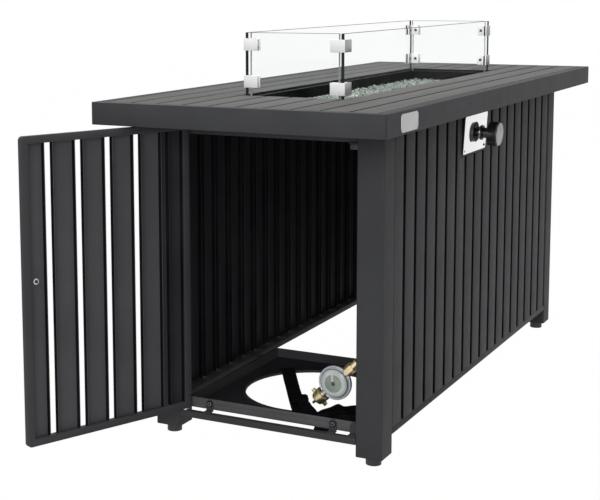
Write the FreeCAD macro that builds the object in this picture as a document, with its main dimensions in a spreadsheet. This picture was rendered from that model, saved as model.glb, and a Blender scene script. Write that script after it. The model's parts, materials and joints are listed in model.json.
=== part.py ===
import FreeCAD, Part
import math
import os
import Sketcher

# Gas fire pit table: a slatted cabinet on four legs with a hinged door at one end, a board top round
# a long burner pan, a lift-off glass wind guard, and the gas control on one long side.
# The frame of the part: origin on the floor under the middle of the table, +X along the top away
# from the door, -Y towards the control side, +Z up. Millimetres and degrees.

os.makedirs("parts", exist_ok=True)
doc = FreeCAD.newDocument("FirePitTable")
Vector = FreeCAD.Vector
Rotation = FreeCAD.Rotation
Placement = FreeCAD.Placement
UP = Vector(0, 0, 1)

# Driving dimensions

DIMENSIONS = {
    "top_length": 1372,
    "top_width": 560,
    "table_height": 635,
    "fascia_height": 40,
    "rim": 20,
    "corner_radius": 6,
    "board_pitch": 52,
    "board_gap": 2.4,
    "board_thickness": 10,
    "opening_length": 884,
    "bearer": 30,
    "leg": 50,
    "leg_span_x": 1118,
    "leg_span_y": 456,
    "foot_height": 16,
    "foot_diameter": 28,
    "rail": 12,
    "side_rail_width": 28,
    "side_rail_bottom": 50,
    "front_rail_bottom": 37.5,
    "slat_depth": 10,
    "slat_wall": 1.5,
    "slat_corner": 1,
    "side_slat_width": 43.5,
    "side_slat_pitch": 56.56,
    "side_slat_count": 18,
    "end_slat_width": 46.5,
    "end_slat_pitch": 61.9,
    "door_width": 350,
    "door_height": 537,
    "door_bottom": 54,
    "door_depth": 12,
    "door_stile": 13,
    "door_slat_width": 45.5,
    "door_slat_pitch": 60.9,
    "door_open_angle": 113,
    "pivot_from_edge": 8,
    "pivot_from_face": 5,
    "pin_diameter": 6,
    "running_clearance": 0.05,
    "pan_length": 880,
    "pan_width": 208,
    "pan_bottom": 560,
    "pan_ledge": 14,
    "pan_wall": 2,
    "pebble_top": 611,
    "guard_length": 868,
    "guard_width": 200,
    "guard_top": 752,
    "glass": 6,
    "tray_length": 376,
    "tray_width": 340,
    "tray_floor": 53,
    "tray_wall_height": 20,
    "tray_sheet": 1.5,
    "tank_hole_diameter": 268,
    "control_plate_length": 141,
    "control_plate_height": 75,
    "control_tilt": 3.4,
    "knob_diameter": 50,
    "regulator_diameter": 59,
    "hose_diameter": 11,
}

dims = doc.addObject("Spreadsheet::Sheet", "dims")
for row, (alias, number) in enumerate(DIMENSIONS.items(), start=1):
    dims.set(f"A{row}", alias)
    dims.set(f"B{row}", str(number))
    dims.setAlias(f"B{row}", alias)
doc.recompute()

sub_parts = []


def size(alias):
    """A driving dimension, as the sheet holds it."""
    return float(dims.get(alias))


def sub_part(label, shape_object):
    """Names a finished piece, which is then written as one file."""
    shape_object.Label = label
    sub_parts.append(shape_object)
    return shape_object


def bind(target, **formulas):
    """Ties properties of an object to the sheet."""
    for name, formula in formulas.items():
        target.setExpression(name.replace("__", "."), str(formula))


# Plain bars, cylinders, groups and booleans

def bar(name, length, width, height, x, y, z):
    """A bar or sheet from its three sizes and its lowest corner, all tied to the sheet."""
    solid = doc.addObject("Part::Box", name)
    bind(solid, Length=length, Width=width, Height=height)
    bind(solid, Placement__Base__x=x, Placement__Base__y=y, Placement__Base__z=z)
    return solid


def rod(name, radius, length, base, direction=UP):
    """A round rod that starts at base and runs along direction."""
    solid = doc.addObject("Part::Cylinder", name)
    bind(solid, Radius=radius, Height=length)
    solid.Placement = Placement(base, Rotation(UP, direction))
    return solid


def cut(name, base, tool):
    result = doc.addObject("Part::Cut", name)
    result.Base = base
    result.Tool = tool
    return result


def fuse(name, members):
    result = doc.addObject("Part::MultiFuse", name)
    result.Shapes = members
    return result


def group(name, members):
    """Several separate solids kept in one piece of the list."""
    result = doc.addObject("Part::Compound", name)
    result.Links = members
    return result


def round_edges(name, base, radius, chosen):
    """Rounds the edges of base for which chosen is true."""
    doc.recompute()
    result = doc.addObject("Part::Fillet", name)
    result.Base = base
    indices = [i for i, edge in enumerate(base.Shape.Edges, start=1) if chosen(edge)]
    result.Edges = [(i, radius, radius) for i in indices]
    return result


def is_upright(edge):
    start, end = edge.Vertexes[0].Point, edge.Vertexes[-1].Point
    return (end - start).Length > 0 and abs((end - start).normalize().z) > 0.999


# Bodies made from sketches

def new_body(name):
    body = doc.addObject("PartDesign::Body", name)
    body.AllowCompound = True
    return body


def new_sketch(body, name, role="XY_Plane", level="0"):
    """A sketch on one of the body's own planes, raised by level along the plane's normal."""
    sketch = body.newObject("Sketcher::SketchObject", f"{body.Name}_{name}")
    plane = [feature for feature in body.Origin.OriginFeatures if feature.Role == role][0]
    sketch.AttachmentSupport = [(plane, "")]
    sketch.MapMode = "FlatFace"
    bind(sketch, AttachmentOffset__Base__z=level)
    return sketch


def named_distance(sketch, kind, name, places, formula):
    index = sketch.addConstraint(Sketcher.Constraint(kind, *places, 1.0))
    sketch.renameConstraint(index, name)
    sketch.setExpression(f"Constraints.{name}", str(formula))


def rectangle(sketch, width, height, left=None, bottom=None):
    """A rectangle fixed by four sizes. With no left or bottom that side lies on the sketch's axis."""
    corners = [Vector(1, 1, 0), Vector(3, 1, 0), Vector(3, 3, 0), Vector(1, 3, 0)]
    sides = [Part.LineSegment(corners[i], corners[(i + 1) % 4]) for i in range(4)]
    first = sketch.addGeometry(sides)[0]
    for i in range(4):
        sketch.addConstraint(Sketcher.Constraint("Coincident", first + i, 2, first + (i + 1) % 4, 1))
    for i, kind in enumerate(("Horizontal", "Vertical", "Horizontal", "Vertical")):
        sketch.addConstraint(Sketcher.Constraint(kind, first + i))
    tag = f"_{first}"
    if left is None:
        sketch.addConstraint(Sketcher.Constraint("PointOnObject", first, 1, -2))
    else:
        named_distance(sketch, "DistanceX", "left" + tag, (-1, 1, first, 1), left)
    if bottom is None:
        sketch.addConstraint(Sketcher.Constraint("PointOnObject", first, 1, -1))
    else:
        named_distance(sketch, "DistanceY", "bottom" + tag, (-1, 1, first, 1), bottom)
    named_distance(sketch, "DistanceX", "width" + tag, (first, 1, first, 2), width)
    named_distance(sketch, "DistanceY", "height" + tag, (first + 1, 1, first + 1, 2), height)


def circle(sketch, x, y, diameter):
    """A circle with its centre and its diameter tied to the sheet."""
    index = sketch.addGeometry(Part.Circle(Vector(5, 5, 0), UP, 1))
    named_distance(sketch, "DistanceX", "centre_x", (-1, 1, index, 3), x)
    named_distance(sketch, "DistanceY", "centre_y", (-1, 1, index, 3), y)
    named_distance(sketch, "Diameter", "diameter", (index,), diameter)


def draw(sketch, points):
    """A closed outline through points. A point with a third number is a corner rounded to it."""
    count = len(points)
    pieces = []
    corner_ends = []
    for i, point in enumerate(points):
        corner = Vector(point[0], point[1], 0)
        radius = point[2] if len(point) > 2 else 0
        before = Vector(points[i - 1][0], points[i - 1][1], 0) - corner
        after = Vector(points[(i + 1) % count][0], points[(i + 1) % count][1], 0) - corner
        before.normalize()
        after.normalize()
        if radius:
            half = before.getAngle(after) / 2
            start = corner + before * (radius / math.tan(half))
            end = corner + after * (radius / math.tan(half))
            bisector = before + after
            bisector.normalize()
            middle = corner + bisector * (radius / math.sin(half) - radius)
            pieces.append(Part.Arc(start, middle, end))
            corner_ends.append((start, end))
        else:
            corner_ends.append((corner, corner))
    for i in range(count):
        start = corner_ends[i][1]
        end = corner_ends[(i + 1) % count][0]
        if (end - start).Length > 1e-6:
            pieces.append(Part.LineSegment(start, end))
    sketch.addGeometry(pieces)


def pad(body, sketch, length, reversed_way=False):
    feature = body.newObject("PartDesign::Pad", f"{sketch.Name}_pad")
    feature.Profile = sketch
    feature.Reversed = reversed_way
    bind(feature, Length=length)
    body.Tip = feature
    return feature


def pocket(body, sketch, length, reversed_way=False):
    feature = body.newObject("PartDesign::Pocket", f"{sketch.Name}_pocket")
    feature.Profile = sketch
    feature.Reversed = reversed_way
    bind(feature, Length=length)
    body.Tip = feature
    return feature


def turn(body, sketch, axis):
    """A full revolution of the sketch about its own H_Axis or V_Axis."""
    feature = body.newObject("PartDesign::Revolution", f"{sketch.Name}_turn")
    feature.Profile = sketch
    feature.ReferenceAxis = (sketch, [axis])
    feature.Angle = 360
    body.Tip = feature
    return feature


def repeat_along(body, feature, sketch, count, pitch):
    """The feature repeated along the sketch's horizontal axis."""
    pattern = body.newObject("PartDesign::LinearPattern", f"{feature.Name}_row")
    pattern.Originals = [feature]
    pattern.Direction = (sketch, ["H_Axis"])
    bind(pattern, Occurrences=count, Length=f"({count} - 1) * {pitch}")
    body.Tip = pattern
    return pattern


def repeat_round(body, feature, sketch, axis, count):
    """The feature repeated round one of the sketch's axes."""
    pattern = body.newObject("PartDesign::PolarPattern", f"{feature.Name}_ring")
    pattern.Originals = [feature]
    pattern.Axis = (sketch, [axis])
    pattern.Angle = 360
    pattern.Occurrences = count
    body.Tip = pattern
    return pattern


def turned_piece(name, points, place, axis="H_Axis", role="XY_Plane"):
    """A piece turned on a lathe: its half outline, revolved, then placed."""
    body = new_body(name)
    sketch = new_sketch(body, "outline", role)
    draw(sketch, points)
    turn(body, sketch, axis)
    body.Placement = place
    return body


# Values that several pieces share, worked out from the driving dimensions

END_X = size("leg_span_x") / 2
SIDE_Y = size("leg_span_y") / 2
INNER_X = END_X - size("leg")
INNER_Y = SIDE_Y - size("leg")
UNDER_TOP = size("table_height") - size("fascia_height")
BOARD_UNDERSIDE = "dims.table_height - dims.board_thickness"
SLAT_FOOT = "dims.side_rail_bottom + dims.rail"
SLAT_HEIGHT = f"dims.table_height - dims.fascia_height - ({SLAT_FOOT})"
SIDE_LENGTH = "dims.leg_span_x - 2 * dims.leg"
END_LENGTH = "dims.leg_span_y - 2 * dims.leg"
SIDES = {"control": -1, "far": 1}


# Top: four mitred fascia rails, bearers across the frame, and the boards

def fascia_rail(label, length, corner, angle):
    """One side of the top's rim, cut at 45 degrees at both ends, with the outer corners eased."""
    rim = size("rim")
    radius = size("corner_radius")
    tip = radius * (1 - math.sqrt(0.5))
    middle = radius * (1 - math.sin(math.radians(67.5)))
    middle_across = radius * (1 - math.cos(math.radians(67.5)))
    body = new_body(label)
    sketch = new_sketch(body, "outline")
    arc_left = (Vector(tip, tip, 0), Vector(middle_across, middle, 0), Vector(radius, 0, 0))
    arc_right = [Vector(length - point.x, point.y, 0) for point in arc_left]
    inner_left = Vector(rim, rim, 0)
    inner_right = Vector(length - rim, rim, 0)
    sketch.addGeometry([
        Part.Arc(*arc_left),
        Part.LineSegment(arc_left[2], arc_right[2]),
        Part.Arc(*arc_right),
        Part.LineSegment(arc_right[0], inner_right),
        Part.LineSegment(inner_right, inner_left),
        Part.LineSegment(inner_left, arc_left[0]),
    ])
    pad(body, sketch, "dims.fascia_height")
    body.Placement = Placement(corner, Rotation(UP, angle))
    return sub_part(label, body)


def make_fascia():
    half_x = size("top_length") / 2
    half_y = size("top_width") / 2
    long_side = size("top_length")
    short_side = size("top_width")
    fascia_rail("top_rail_control_side", long_side, Vector(-half_x, -half_y, UNDER_TOP), 0)
    fascia_rail("top_rail_tail_end", short_side, Vector(half_x, -half_y, UNDER_TOP), 90)
    fascia_rail("top_rail_far_side", long_side, Vector(half_x, half_y, UNDER_TOP), 180)
    fascia_rail("top_rail_door_end", short_side, Vector(-half_x, half_y, UNDER_TOP), 270)


def make_bearers():
    """Six cross bearers: by the opening, over the legs, and against the end rails."""
    places = {
        "opening": "dims.opening_length / 2",
        "leg": "dims.leg_span_x / 2 - dims.leg / 2 - dims.bearer / 2",
        "end": "dims.top_length / 2 - dims.rim - dims.bearer",
    }
    bars = []
    for where, inner in places.items():
        for sign in (-1, 1):
            x = inner if sign > 0 else f"-({inner}) - dims.bearer"
            bars.append(bar(
                f"bearer_{where}_{'tail' if sign > 0 else 'door'}",
                "dims.bearer", "dims.top_width - 2 * dims.rim",
                "dims.fascia_height - dims.board_thickness",
                x, "dims.rim - dims.top_width / 2", "dims.table_height - dims.fascia_height"))
    sub_part("deck_bearers", group("deck_bearers", bars + make_pan_rails()))


def board_row(label, length, x, first, count):
    """Neighbouring boards. Board 0 lies against the control side rail, and they run along the top."""
    boards = []
    for index in range(first, first + count):
        boards.append(bar(
            f"{label}_{index}", length, "dims.board_pitch - dims.board_gap", "dims.board_thickness",
            x, f"dims.rim - dims.top_width / 2 + {index} * dims.board_pitch + dims.board_gap / 2",
            BOARD_UNDERSIDE))
    sub_part(label, group(label, boards))


def make_boards():
    full = "dims.top_length - 2 * dims.rim"
    short = "(dims.top_length - dims.opening_length) / 2 - dims.rim"
    left = "dims.rim - dims.top_length / 2"
    board_row("deck_boards_control_side", full, left, 0, 3)
    board_row("deck_boards_far_side", full, left, 7, 3)
    board_row("deck_boards_door_end", short, left, 3, 4)
    board_row("deck_boards_tail_end", short, "dims.opening_length / 2", 3, 4)


# Legs, feet and the rails that join the legs

def make_legs():
    legs = {
        "leg_door_control": (-END_X, -SIDE_Y),
        "leg_door_far": (-END_X, INNER_Y),
        "leg_tail_control": (INNER_X, -SIDE_Y),
        "leg_tail_far": (INNER_X, INNER_Y),
    }
    feet = []
    for label, (x, y) in legs.items():
        tube = bar(f"{label}_tube", "dims.leg", "dims.leg",
                   "dims.table_height - dims.fascia_height - dims.foot_height",
                   x, y, "dims.foot_height")
        sub_part(label, round_edges(label, tube, 3, is_upright))
        half = size("leg") / 2
        feet.append(rod(f"{label}_glide", "dims.foot_diameter / 2", "dims.foot_height",
                        Vector(x + half, y + half, 0)))
    sub_part("feet", group("feet", feet))


def make_side_rails():
    """Top and bottom rails of the two long sides and of the closed end."""
    left = "dims.leg - dims.leg_span_x / 2"
    near = "dims.leg - dims.leg_span_y / 2"
    high = "dims.table_height - dims.fascia_height - dims.rail"
    upper_rails = []
    for side, sign in SIDES.items():
        outer = "-dims.leg_span_y / 2" if sign < 0 else "dims.leg_span_y / 2 - dims.side_rail_width"
        inner = ("dims.slat_depth - dims.leg_span_y / 2" if sign < 0
                 else "dims.leg_span_y / 2 - dims.slat_depth - dims.rail")
        low_rail = bar(f"bottom_rail_{side}_side", SIDE_LENGTH, "dims.side_rail_width", "dims.rail",
                       left, outer, "dims.side_rail_bottom")
        sub_part(low_rail.Name, low_rail)
        upper_rails.append(bar(f"upper_rail_{side}_side", SIDE_LENGTH, "dims.rail", "dims.rail",
                               left, inner, high))
    low_rail = bar("bottom_rail_tail_end", "dims.rail", END_LENGTH, "dims.rail",
                   "dims.leg_span_x / 2 - dims.rail", near, "dims.side_rail_bottom")
    sub_part(low_rail.Name, low_rail)
    upper_rails.append(bar("upper_rail_tail_end", "dims.rail", END_LENGTH, "dims.rail",
                           "dims.leg_span_x / 2 - dims.slat_depth - dims.rail", near, high))
    sub_part("upper_rails", group("upper_rails", upper_rails))


# Door hinge line, in the part's frame

PIVOT = Vector(-END_X + size("pivot_from_face"), INNER_Y - 3 - size("pivot_from_edge"), 0)
PIN_HOLE = "dims.pin_diameter / 2 + dims.running_clearance"
STOP_RAIL_BACK = 39
STOP_RAIL_FRONT = 17
CATCH_FRONT = 13
STOP_RAIL_HEIGHT = 25


def make_door_end_rails():
    """The sill with the lower pivot's bore, the rail that the door stops on, and the upper pivot."""
    near = "dims.leg - dims.leg_span_y / 2"
    sill = bar("sill_bar", "dims.rail", END_LENGTH, "dims.rail",
               "-dims.leg_span_x / 2", near, "dims.front_rail_bottom")
    bore_floor = size("front_rail_bottom") + 3
    bore = rod("sill_bore", PIN_HOLE, "dims.rail", Vector(PIVOT.x, PIVOT.y, bore_floor))
    bored_sill = cut("bored_sill", sill, bore)
    sub_part("bottom_rail_door_end", fuse("bottom_rail_door_end", [bored_sill] + make_tray_tabs()))
    stop_rail = bar("stop_rail_bar", STOP_RAIL_BACK - STOP_RAIL_FRONT, END_LENGTH, STOP_RAIL_HEIGHT,
                    f"{STOP_RAIL_FRONT} - dims.leg_span_x / 2", near,
                    f"dims.table_height - dims.fascia_height - {STOP_RAIL_HEIGHT}")
    plate = bar("pivot_plate", STOP_RAIL_FRONT, 22, 2.5, "-dims.leg_span_x / 2", INNER_Y - 22,
                UNDER_TOP - 2.5)
    hole = rod("pivot_plate_hole", PIN_HOLE, 10, Vector(PIVOT.x, PIVOT.y, UNDER_TOP - 6))
    eared_rail = fuse("stop_rail_with_ear", [stop_rail, plate])
    sub_part("door_stop_rail", cut("door_stop_rail", eared_rail, hole))


# Slats: folded channels with their flanges turned inwards

def channel_row(name, across, corner, pitch, count, height):
    """A row of channels along X with the outer face at Y 0 and the flanges towards +Y."""
    depth = size("slat_depth")
    wall = size("slat_wall")
    body = new_body(name)
    sketch = new_sketch(body, "section")
    draw(sketch, [
        (0, corner),
        (corner, 0),
        (across - corner, 0),
        (across, corner),
        (across, depth),
        (across - wall, depth),
        (across - wall, wall),
        (wall, wall),
        (wall, depth),
        (0, depth),
    ])
    first = pad(body, sketch, height)
    repeat_along(body, first, sketch, count, pitch)
    return body


CONTROL_CENTRE_X = -77
CONTROL_CENTRE_Z = 543.8
PLATE_STANDOFF = 6.2
BEZEL_BORDER = 6
SHADOW_GAP = 1


def make_panels():
    """The fixed slat panels of the two long sides and of the closed end."""
    foot = size("side_rail_bottom") + size("rail")
    corner = size("slat_corner")
    row = (size("side_slat_width"), corner, "dims.side_slat_pitch", "dims.side_slat_count", SLAT_HEIGHT)
    control = channel_row("control_side_slats", *row)
    control.Placement = Placement(Vector(-INNER_X, -SIDE_Y, foot), Rotation())
    notch = new_sketch(control, "notch", "XZ_Plane")
    notch_width = f"dims.control_plate_length + 2 * {BEZEL_BORDER}"
    notch_bottom = CONTROL_CENTRE_Z - size("control_plate_height") / 2 - BEZEL_BORDER - foot
    rectangle(notch, notch_width, "dims.control_plate_height * 2",
              f"{CONTROL_CENTRE_X + INNER_X} - ({notch_width}) / 2", notch_bottom)
    pocket(control, notch, "dims.slat_depth * 2")
    sub_part("control_side_slats", control)
    far = channel_row("far_side_slats", *row)
    far.Placement = Placement(Vector(INNER_X, SIDE_Y, foot), Rotation(UP, 180))
    sub_part("far_side_slats", far)
    tail = channel_row("tail_end_slats", size("end_slat_width"), corner, "dims.end_slat_pitch", 6,
                       SLAT_HEIGHT)
    tail.Placement = Placement(Vector(END_X, -INNER_Y, foot), Rotation(UP, 90))
    sub_part("tail_end_slats", tail)


# Door, drawn shut in its own frame: X from the hinge edge to the free edge, Y from the outer face
# inwards, Z up from its lower edge

DOOR_PLACE = Placement(
    PIVOT + Vector(0, 0, size("door_bottom")), Rotation(UP, -90 - size("door_open_angle")))
DOOR_CORNER = 7
PULL_FROM_HINGE = 322
PULL_HEIGHT = 286


def on_door(x, y, z, turned=Rotation()):
    """A place on the door, from its hinge edge, outer face and lower edge."""
    offset = Vector(x - size("pivot_from_edge"), y - size("pivot_from_face"), z)
    return DOOR_PLACE.multiply(Placement(offset, turned))


def make_door_frame():
    body = new_body("door_frame")
    width = size("door_width")
    height = size("door_height")
    outer = new_sketch(body, "outer", "XZ_Plane")
    draw(outer, [(0, 0, DOOR_CORNER), (width, 0, DOOR_CORNER), (width, height, DOOR_CORNER),
                 (0, height, DOOR_CORNER)])
    pad(body, outer, "dims.door_depth", reversed_way=True)
    inner = new_sketch(body, "inner", "XZ_Plane")
    rectangle(inner, "dims.door_width - 2 * dims.door_stile", "dims.door_height - 2 * dims.door_stile",
              "dims.door_stile", "dims.door_stile")
    pocket(body, inner, "dims.door_depth")
    body.Placement = on_door(0, 0, 0)
    sub_part("door_frame", body)


def make_door_slats():
    """Four full channels between two narrower ones, which end against the stiles."""
    stile = size("door_stile")
    height = "dims.door_height - 2 * dims.door_stile"
    full = channel_row("door_slats_middle", size("door_slat_width"), size("slat_corner"),
                       "dims.door_slat_pitch", 4, height)
    full.Placement = on_door(size("door_slat_pitch"), 0, stile)
    narrow = channel_row("door_slats_edge", size("door_slat_width") - stile, 0.2,
                         "dims.door_width - dims.door_slat_width - dims.door_stile", 2, height)
    narrow.Placement = on_door(stile, 0, stile)
    sub_part("door_slats", group("door_slats", [full, narrow]))


def make_door_pins():
    """A collared pin at the foot of the hinge stile and a plain one at its top."""
    pin = size("pin_diameter") / 2
    place = on_door(size("pivot_from_edge"), size("pivot_from_face"), 0)
    lower = turned_piece("lower_pin", [(0, -12), (pin, -12), (pin, -3), (pin + 2, -3), (pin + 2, 0),
                                       (0, 0)], place, "V_Axis", "XZ_Plane")
    top = size("door_height")
    upper = turned_piece("upper_pin", [(0, top), (pin, top), (pin, top + 3.4), (0, top + 3.4)],
                         place, "V_Axis", "XZ_Plane")
    sub_part("door_pivot_pins", group("door_pivot_pins", [lower, upper]))


def make_door_pull():
    """A small round pull on the outside, held by a slotted screw and a washer from the inside."""
    outer_face = on_door(PULL_FROM_HINGE, 0, PULL_HEIGHT)
    pull = [(0, 0), (6, 0), (6, -12), (12.5, -12), (12.5, -22), (0, -22)]
    sub_part("door_pull", turned_piece("door_pull", pull, outer_face, "V_Axis"))
    inner_face = on_door(PULL_FROM_HINGE, size("slat_wall"), PULL_HEIGHT)
    screw = new_body("door_pull_screw")
    outline = new_sketch(screw, "outline")
    draw(outline, [(0, 0), (5.5, 0), (5.5, 1), (3.6, 1), (3.6, 3.2), (0, 3.2)])
    turn(screw, outline, "V_Axis")
    slot = new_sketch(screw, "slot")
    draw(slot, [(-0.6, 2.2), (0.6, 2.2), (0.6, 4), (-0.6, 4)])
    groove = pocket(screw, slot, 12)
    groove.Midplane = True
    screw.Placement = inner_face
    sub_part("door_pull_screw", screw)


def make_catch():
    """A magnetic catch under the stop rail, at the door's free edge."""
    front = CATCH_FRONT - END_X
    under = UNDER_TOP - STOP_RAIL_HEIGHT
    near = -INNER_Y + 1
    arm = bar("catch_arm", 22, 20, 2, front, near, under - 2)
    back = bar("catch_back", 2, 20, 14, front + 20, near, under - 14)
    sub_part("catch_bracket", fuse("catch_bracket", [arm, back]))
    magnet = bar("catch_magnet", 18, 16, 10, front, near + 2, under - 12)
    sub_part("catch_magnet", magnet)


# Tank tray and its webbing

TRAY_FRONT = 18 - END_X
TRAY_NEAR = -176
TAB_WIDTH = 14.5
TAB_PLACES = (122, -128, -168)
TAB_HOLE_Z = 63.5
TAB_TOP_Z = 71.5


def make_tray():
    """A folded tray with a round hole for the tank's foot ring and a rolled bead round the hole."""
    body = new_body("tank_tray")
    base = new_sketch(body, "base")
    rectangle(base, "dims.tray_length", "dims.tray_width")
    pad(body, base, "dims.tray_wall_height")
    inside = new_sketch(body, "inside", level="dims.tray_wall_height")
    rectangle(inside, "dims.tray_length - 2 * dims.tray_sheet", "dims.tray_width - 2 * dims.tray_sheet",
              "dims.tray_sheet", "dims.tray_sheet")
    pocket(body, inside, "dims.tray_wall_height - dims.tray_sheet")
    hole = new_sketch(body, "hole", level="dims.tray_sheet")
    circle(hole, "dims.tray_length / 2 - 4", "dims.tray_width / 2 - 2", "dims.tank_hole_diameter")
    pocket(body, hole, "dims.tray_sheet")
    bead = new_sketch(body, "bead", "XZ_Plane", f"2 - dims.tray_width / 2")
    bind(bead, AttachmentOffset__Base__x="dims.tray_length / 2 - 4")
    edge = size("tank_hole_diameter") / 2
    draw(bead, [(edge - 1, 0), (edge + 4, 0), (edge + 3, 5), (edge, 5)])
    turn(body, bead, "V_Axis")
    for number, y in enumerate(TAB_PLACES[:2]):
        screw_hole = new_sketch(body, f"screw_hole_{number}", "YZ_Plane")
        circle(screw_hole, y - TRAY_NEAR, TAB_HOLE_Z - size("tray_floor"), 4.2)
        pocket(body, screw_hole, 4, reversed_way=True)
    body.Placement = Placement(Vector(TRAY_FRONT, TRAY_NEAR, size("tray_floor")), Rotation())
    sub_part("tank_tray", body)


def make_tray_tabs():
    """Bent tabs on the sill that carry the tray's front edge. The first two take a screw."""
    foot_z = size("front_rail_bottom") + size("rail")
    tabs = []
    for number, y in enumerate(TAB_PLACES):
        body = new_body(f"tray_tab_{number}")
        face = new_sketch(body, "face", "YZ_Plane")
        top = TAB_TOP_Z - foot_z
        draw(face, [(0, 0), (TAB_WIDTH, 0), (TAB_WIDTH, top - 6), (TAB_WIDTH - 4, top), (4, top),
                    (0, top - 6)])
        pad(body, face, 2)
        foot = new_sketch(body, "foot", "YZ_Plane")
        rectangle(foot, TAB_WIDTH, 2)
        pad(body, foot, 12, reversed_way=True)
        if number < 2:
            screw_hole = new_sketch(body, "screw_hole", "YZ_Plane")
            circle(screw_hole, TAB_WIDTH / 2, TAB_HOLE_Z - foot_z, 4.2)
            pocket(body, screw_hole, 4, reversed_way=True)
        body.Placement = Placement(Vector(TRAY_FRONT - 2, y - TAB_WIDTH / 2, foot_z), Rotation())
        tabs.append(body)
    return tabs


def make_tray_screws():
    screws = []
    for number, y in enumerate(TAB_PLACES[:2]):
        place = Placement(Vector(TRAY_FRONT - 2, y, TAB_HOLE_Z), Rotation())
        screws.append(turned_piece(f"tray_screw_{number}", [
            (-2, 0), (-2, 4.4), (0, 4.4), (0, 2), (6, 2), (6, 0)], place))
    sub_part("tray_screws", group("tray_screws", screws))


def make_tray_bearer():
    """The cross bar that carries the tray's back edge, between the two side rails."""
    back = TRAY_FRONT + size("tray_length")
    bearer = bar("tray_bearer", "dims.rail", "dims.leg_span_y - 2 * dims.side_rail_width", "dims.rail",
                 f"{back} - dims.rail", "dims.side_rail_width - dims.leg_span_y / 2",
                 "dims.tray_floor - dims.rail")
    sub_part("tray_bearer", bearer)


STRAP_THICKNESS = 1.8


def ribbon(name, start, end, width, profile, thickness):
    """A webbing strap over a straight line on the floor plan. The profile gives heights along it."""
    along = end - start
    length = along.Length
    along.normalize()
    across = UP.cross(along) * (width / 2)
    lower = [start + along * (part * length) + Vector(0, 0, height) for part, height in profile]
    upper = [point + Vector(0, 0, thickness) for point in reversed(lower)]
    loop = [point - across for point in lower + upper]
    face = Part.Face(Part.makePolygon(loop + loop[:1]))
    strap = doc.addObject("Part::Feature", name)
    strap.Shape = face.extrude(across * 2)
    return sub_part(name, strap)


def make_straps():
    """The webbing that holds the tank down lies slack over the hole, with its buckle."""
    floor_z = size("tray_floor") + size("tray_sheet") + 0.1
    bead_z = size("tray_floor") + 5.2
    sag_z = bead_z - 2.5
    ribbon("tank_strap", Vector(-242, 105, 0), Vector(-512, -51, 0), 28, [
        (0, floor_z), (0.02, floor_z), (0.055, bead_z), (0.125, bead_z), (0.3, sag_z),
        (0.82, sag_z), (0.88, bead_z), (0.95, bead_z), (0.985, floor_z), (1, floor_z)],
        STRAP_THICKNESS)
    ribbon("side_strap", Vector(-506, -76, 0), Vector(-512, -170, 0), 22, [
        (0, floor_z + 6), (0.1, floor_z), (0.25, floor_z), (0.45, floor_z + 12), (0.6, floor_z + 11),
        (0.75, floor_z + 18), (0.85, floor_z + 14), (0.97, floor_z), (1, floor_z)],
        STRAP_THICKNESS)
    buckle = bar("buckle_block", 28, 38, 15, -14, -25, 0)
    buckle = round_edges("strap_buckle", buckle, 4, is_upright)
    buckle.Placement = Placement(Vector(-449.8, -15, sag_z + STRAP_THICKNESS + 0.1), Rotation(UP, 30))
    sub_part("strap_buckle", buckle)


# Burner

def make_pan():
    """A stepped tub: a rim flush with the boards, a ledge for the glass, and a deep well."""
    rim_depth = 5
    rim_top = 2
    body = new_body("burner_pan")
    well_height = f"dims.table_height - {rim_top + rim_depth} - dims.pan_bottom"
    top_level = f"dims.table_height - {rim_top} - dims.pan_bottom"
    well = new_sketch(body, "well")
    rectangle(well, "dims.pan_length - 2 * dims.pan_ledge", "dims.pan_width - 2 * dims.pan_ledge",
              "dims.pan_ledge", "dims.pan_ledge")
    pad(body, well, well_height)
    rim = new_sketch(body, "rim", level=well_height)
    rectangle(rim, "dims.pan_length", "dims.pan_width")
    pad(body, rim, rim_depth)
    step = new_sketch(body, "step", level=top_level)
    rectangle(step, "dims.pan_length - 2 * dims.pan_wall", "dims.pan_width - 2 * dims.pan_wall",
              "dims.pan_wall", "dims.pan_wall")
    pocket(body, step, f"{rim_depth} - dims.pan_wall")
    inside = new_sketch(body, "inside", level=top_level)
    rectangle(inside, "dims.pan_length - 2 * dims.pan_ledge - 2 * dims.pan_wall",
              "dims.pan_width - 2 * dims.pan_ledge - 2 * dims.pan_wall",
              "dims.pan_ledge + dims.pan_wall", "dims.pan_ledge + dims.pan_wall")
    pocket(body, inside, f"({top_level}) - dims.pan_wall")
    inlet = new_sketch(body, "inlet", level="dims.pan_wall")
    circle(inlet, f"dims.pan_length / 2 + {INLET_X}", "dims.pan_width / 2", 20)
    pocket(body, inlet, "dims.pan_wall")
    body.Placement = Placement(
        Vector(-size("pan_length") / 2, -size("pan_width") / 2, size("pan_bottom")), Rotation())
    sub_part("burner_pan", body)


INLET_X = 60
BURNER_LENGTH = 700
BURNER_WIDTH = 50
BURNER_HEIGHT = 14
ELBOW = 22


def make_pan_rails():
    """Two stepped rails between the bearers: the step carries the pan's rim, the rest the boards."""
    rails = []
    for side, sign in SIDES.items():
        outer_y = 125
        lip_y = "dims.pan_width / 2"
        inner_y = "dims.pan_width / 2 - dims.pan_ledge + 1"
        wide_y = f"-{outer_y}" if sign < 0 else inner_y
        high_y = f"-{lip_y}" if sign < 0 else inner_y
        left = "-dims.opening_length / 2"
        wide = bar(f"pan_rail_{side}_wide", "dims.opening_length", f"{outer_y} - ({inner_y})", 17,
                   left, wide_y, f"{BOARD_UNDERSIDE} - 17")
        high = bar(f"pan_rail_{side}_high", "dims.opening_length", f"{lip_y} - ({inner_y})", 20,
                   left, high_y, f"{BOARD_UNDERSIDE} - 17")
        rails.append(fuse(f"pan_rail_{side}", [wide, high]))
    return rails


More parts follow.
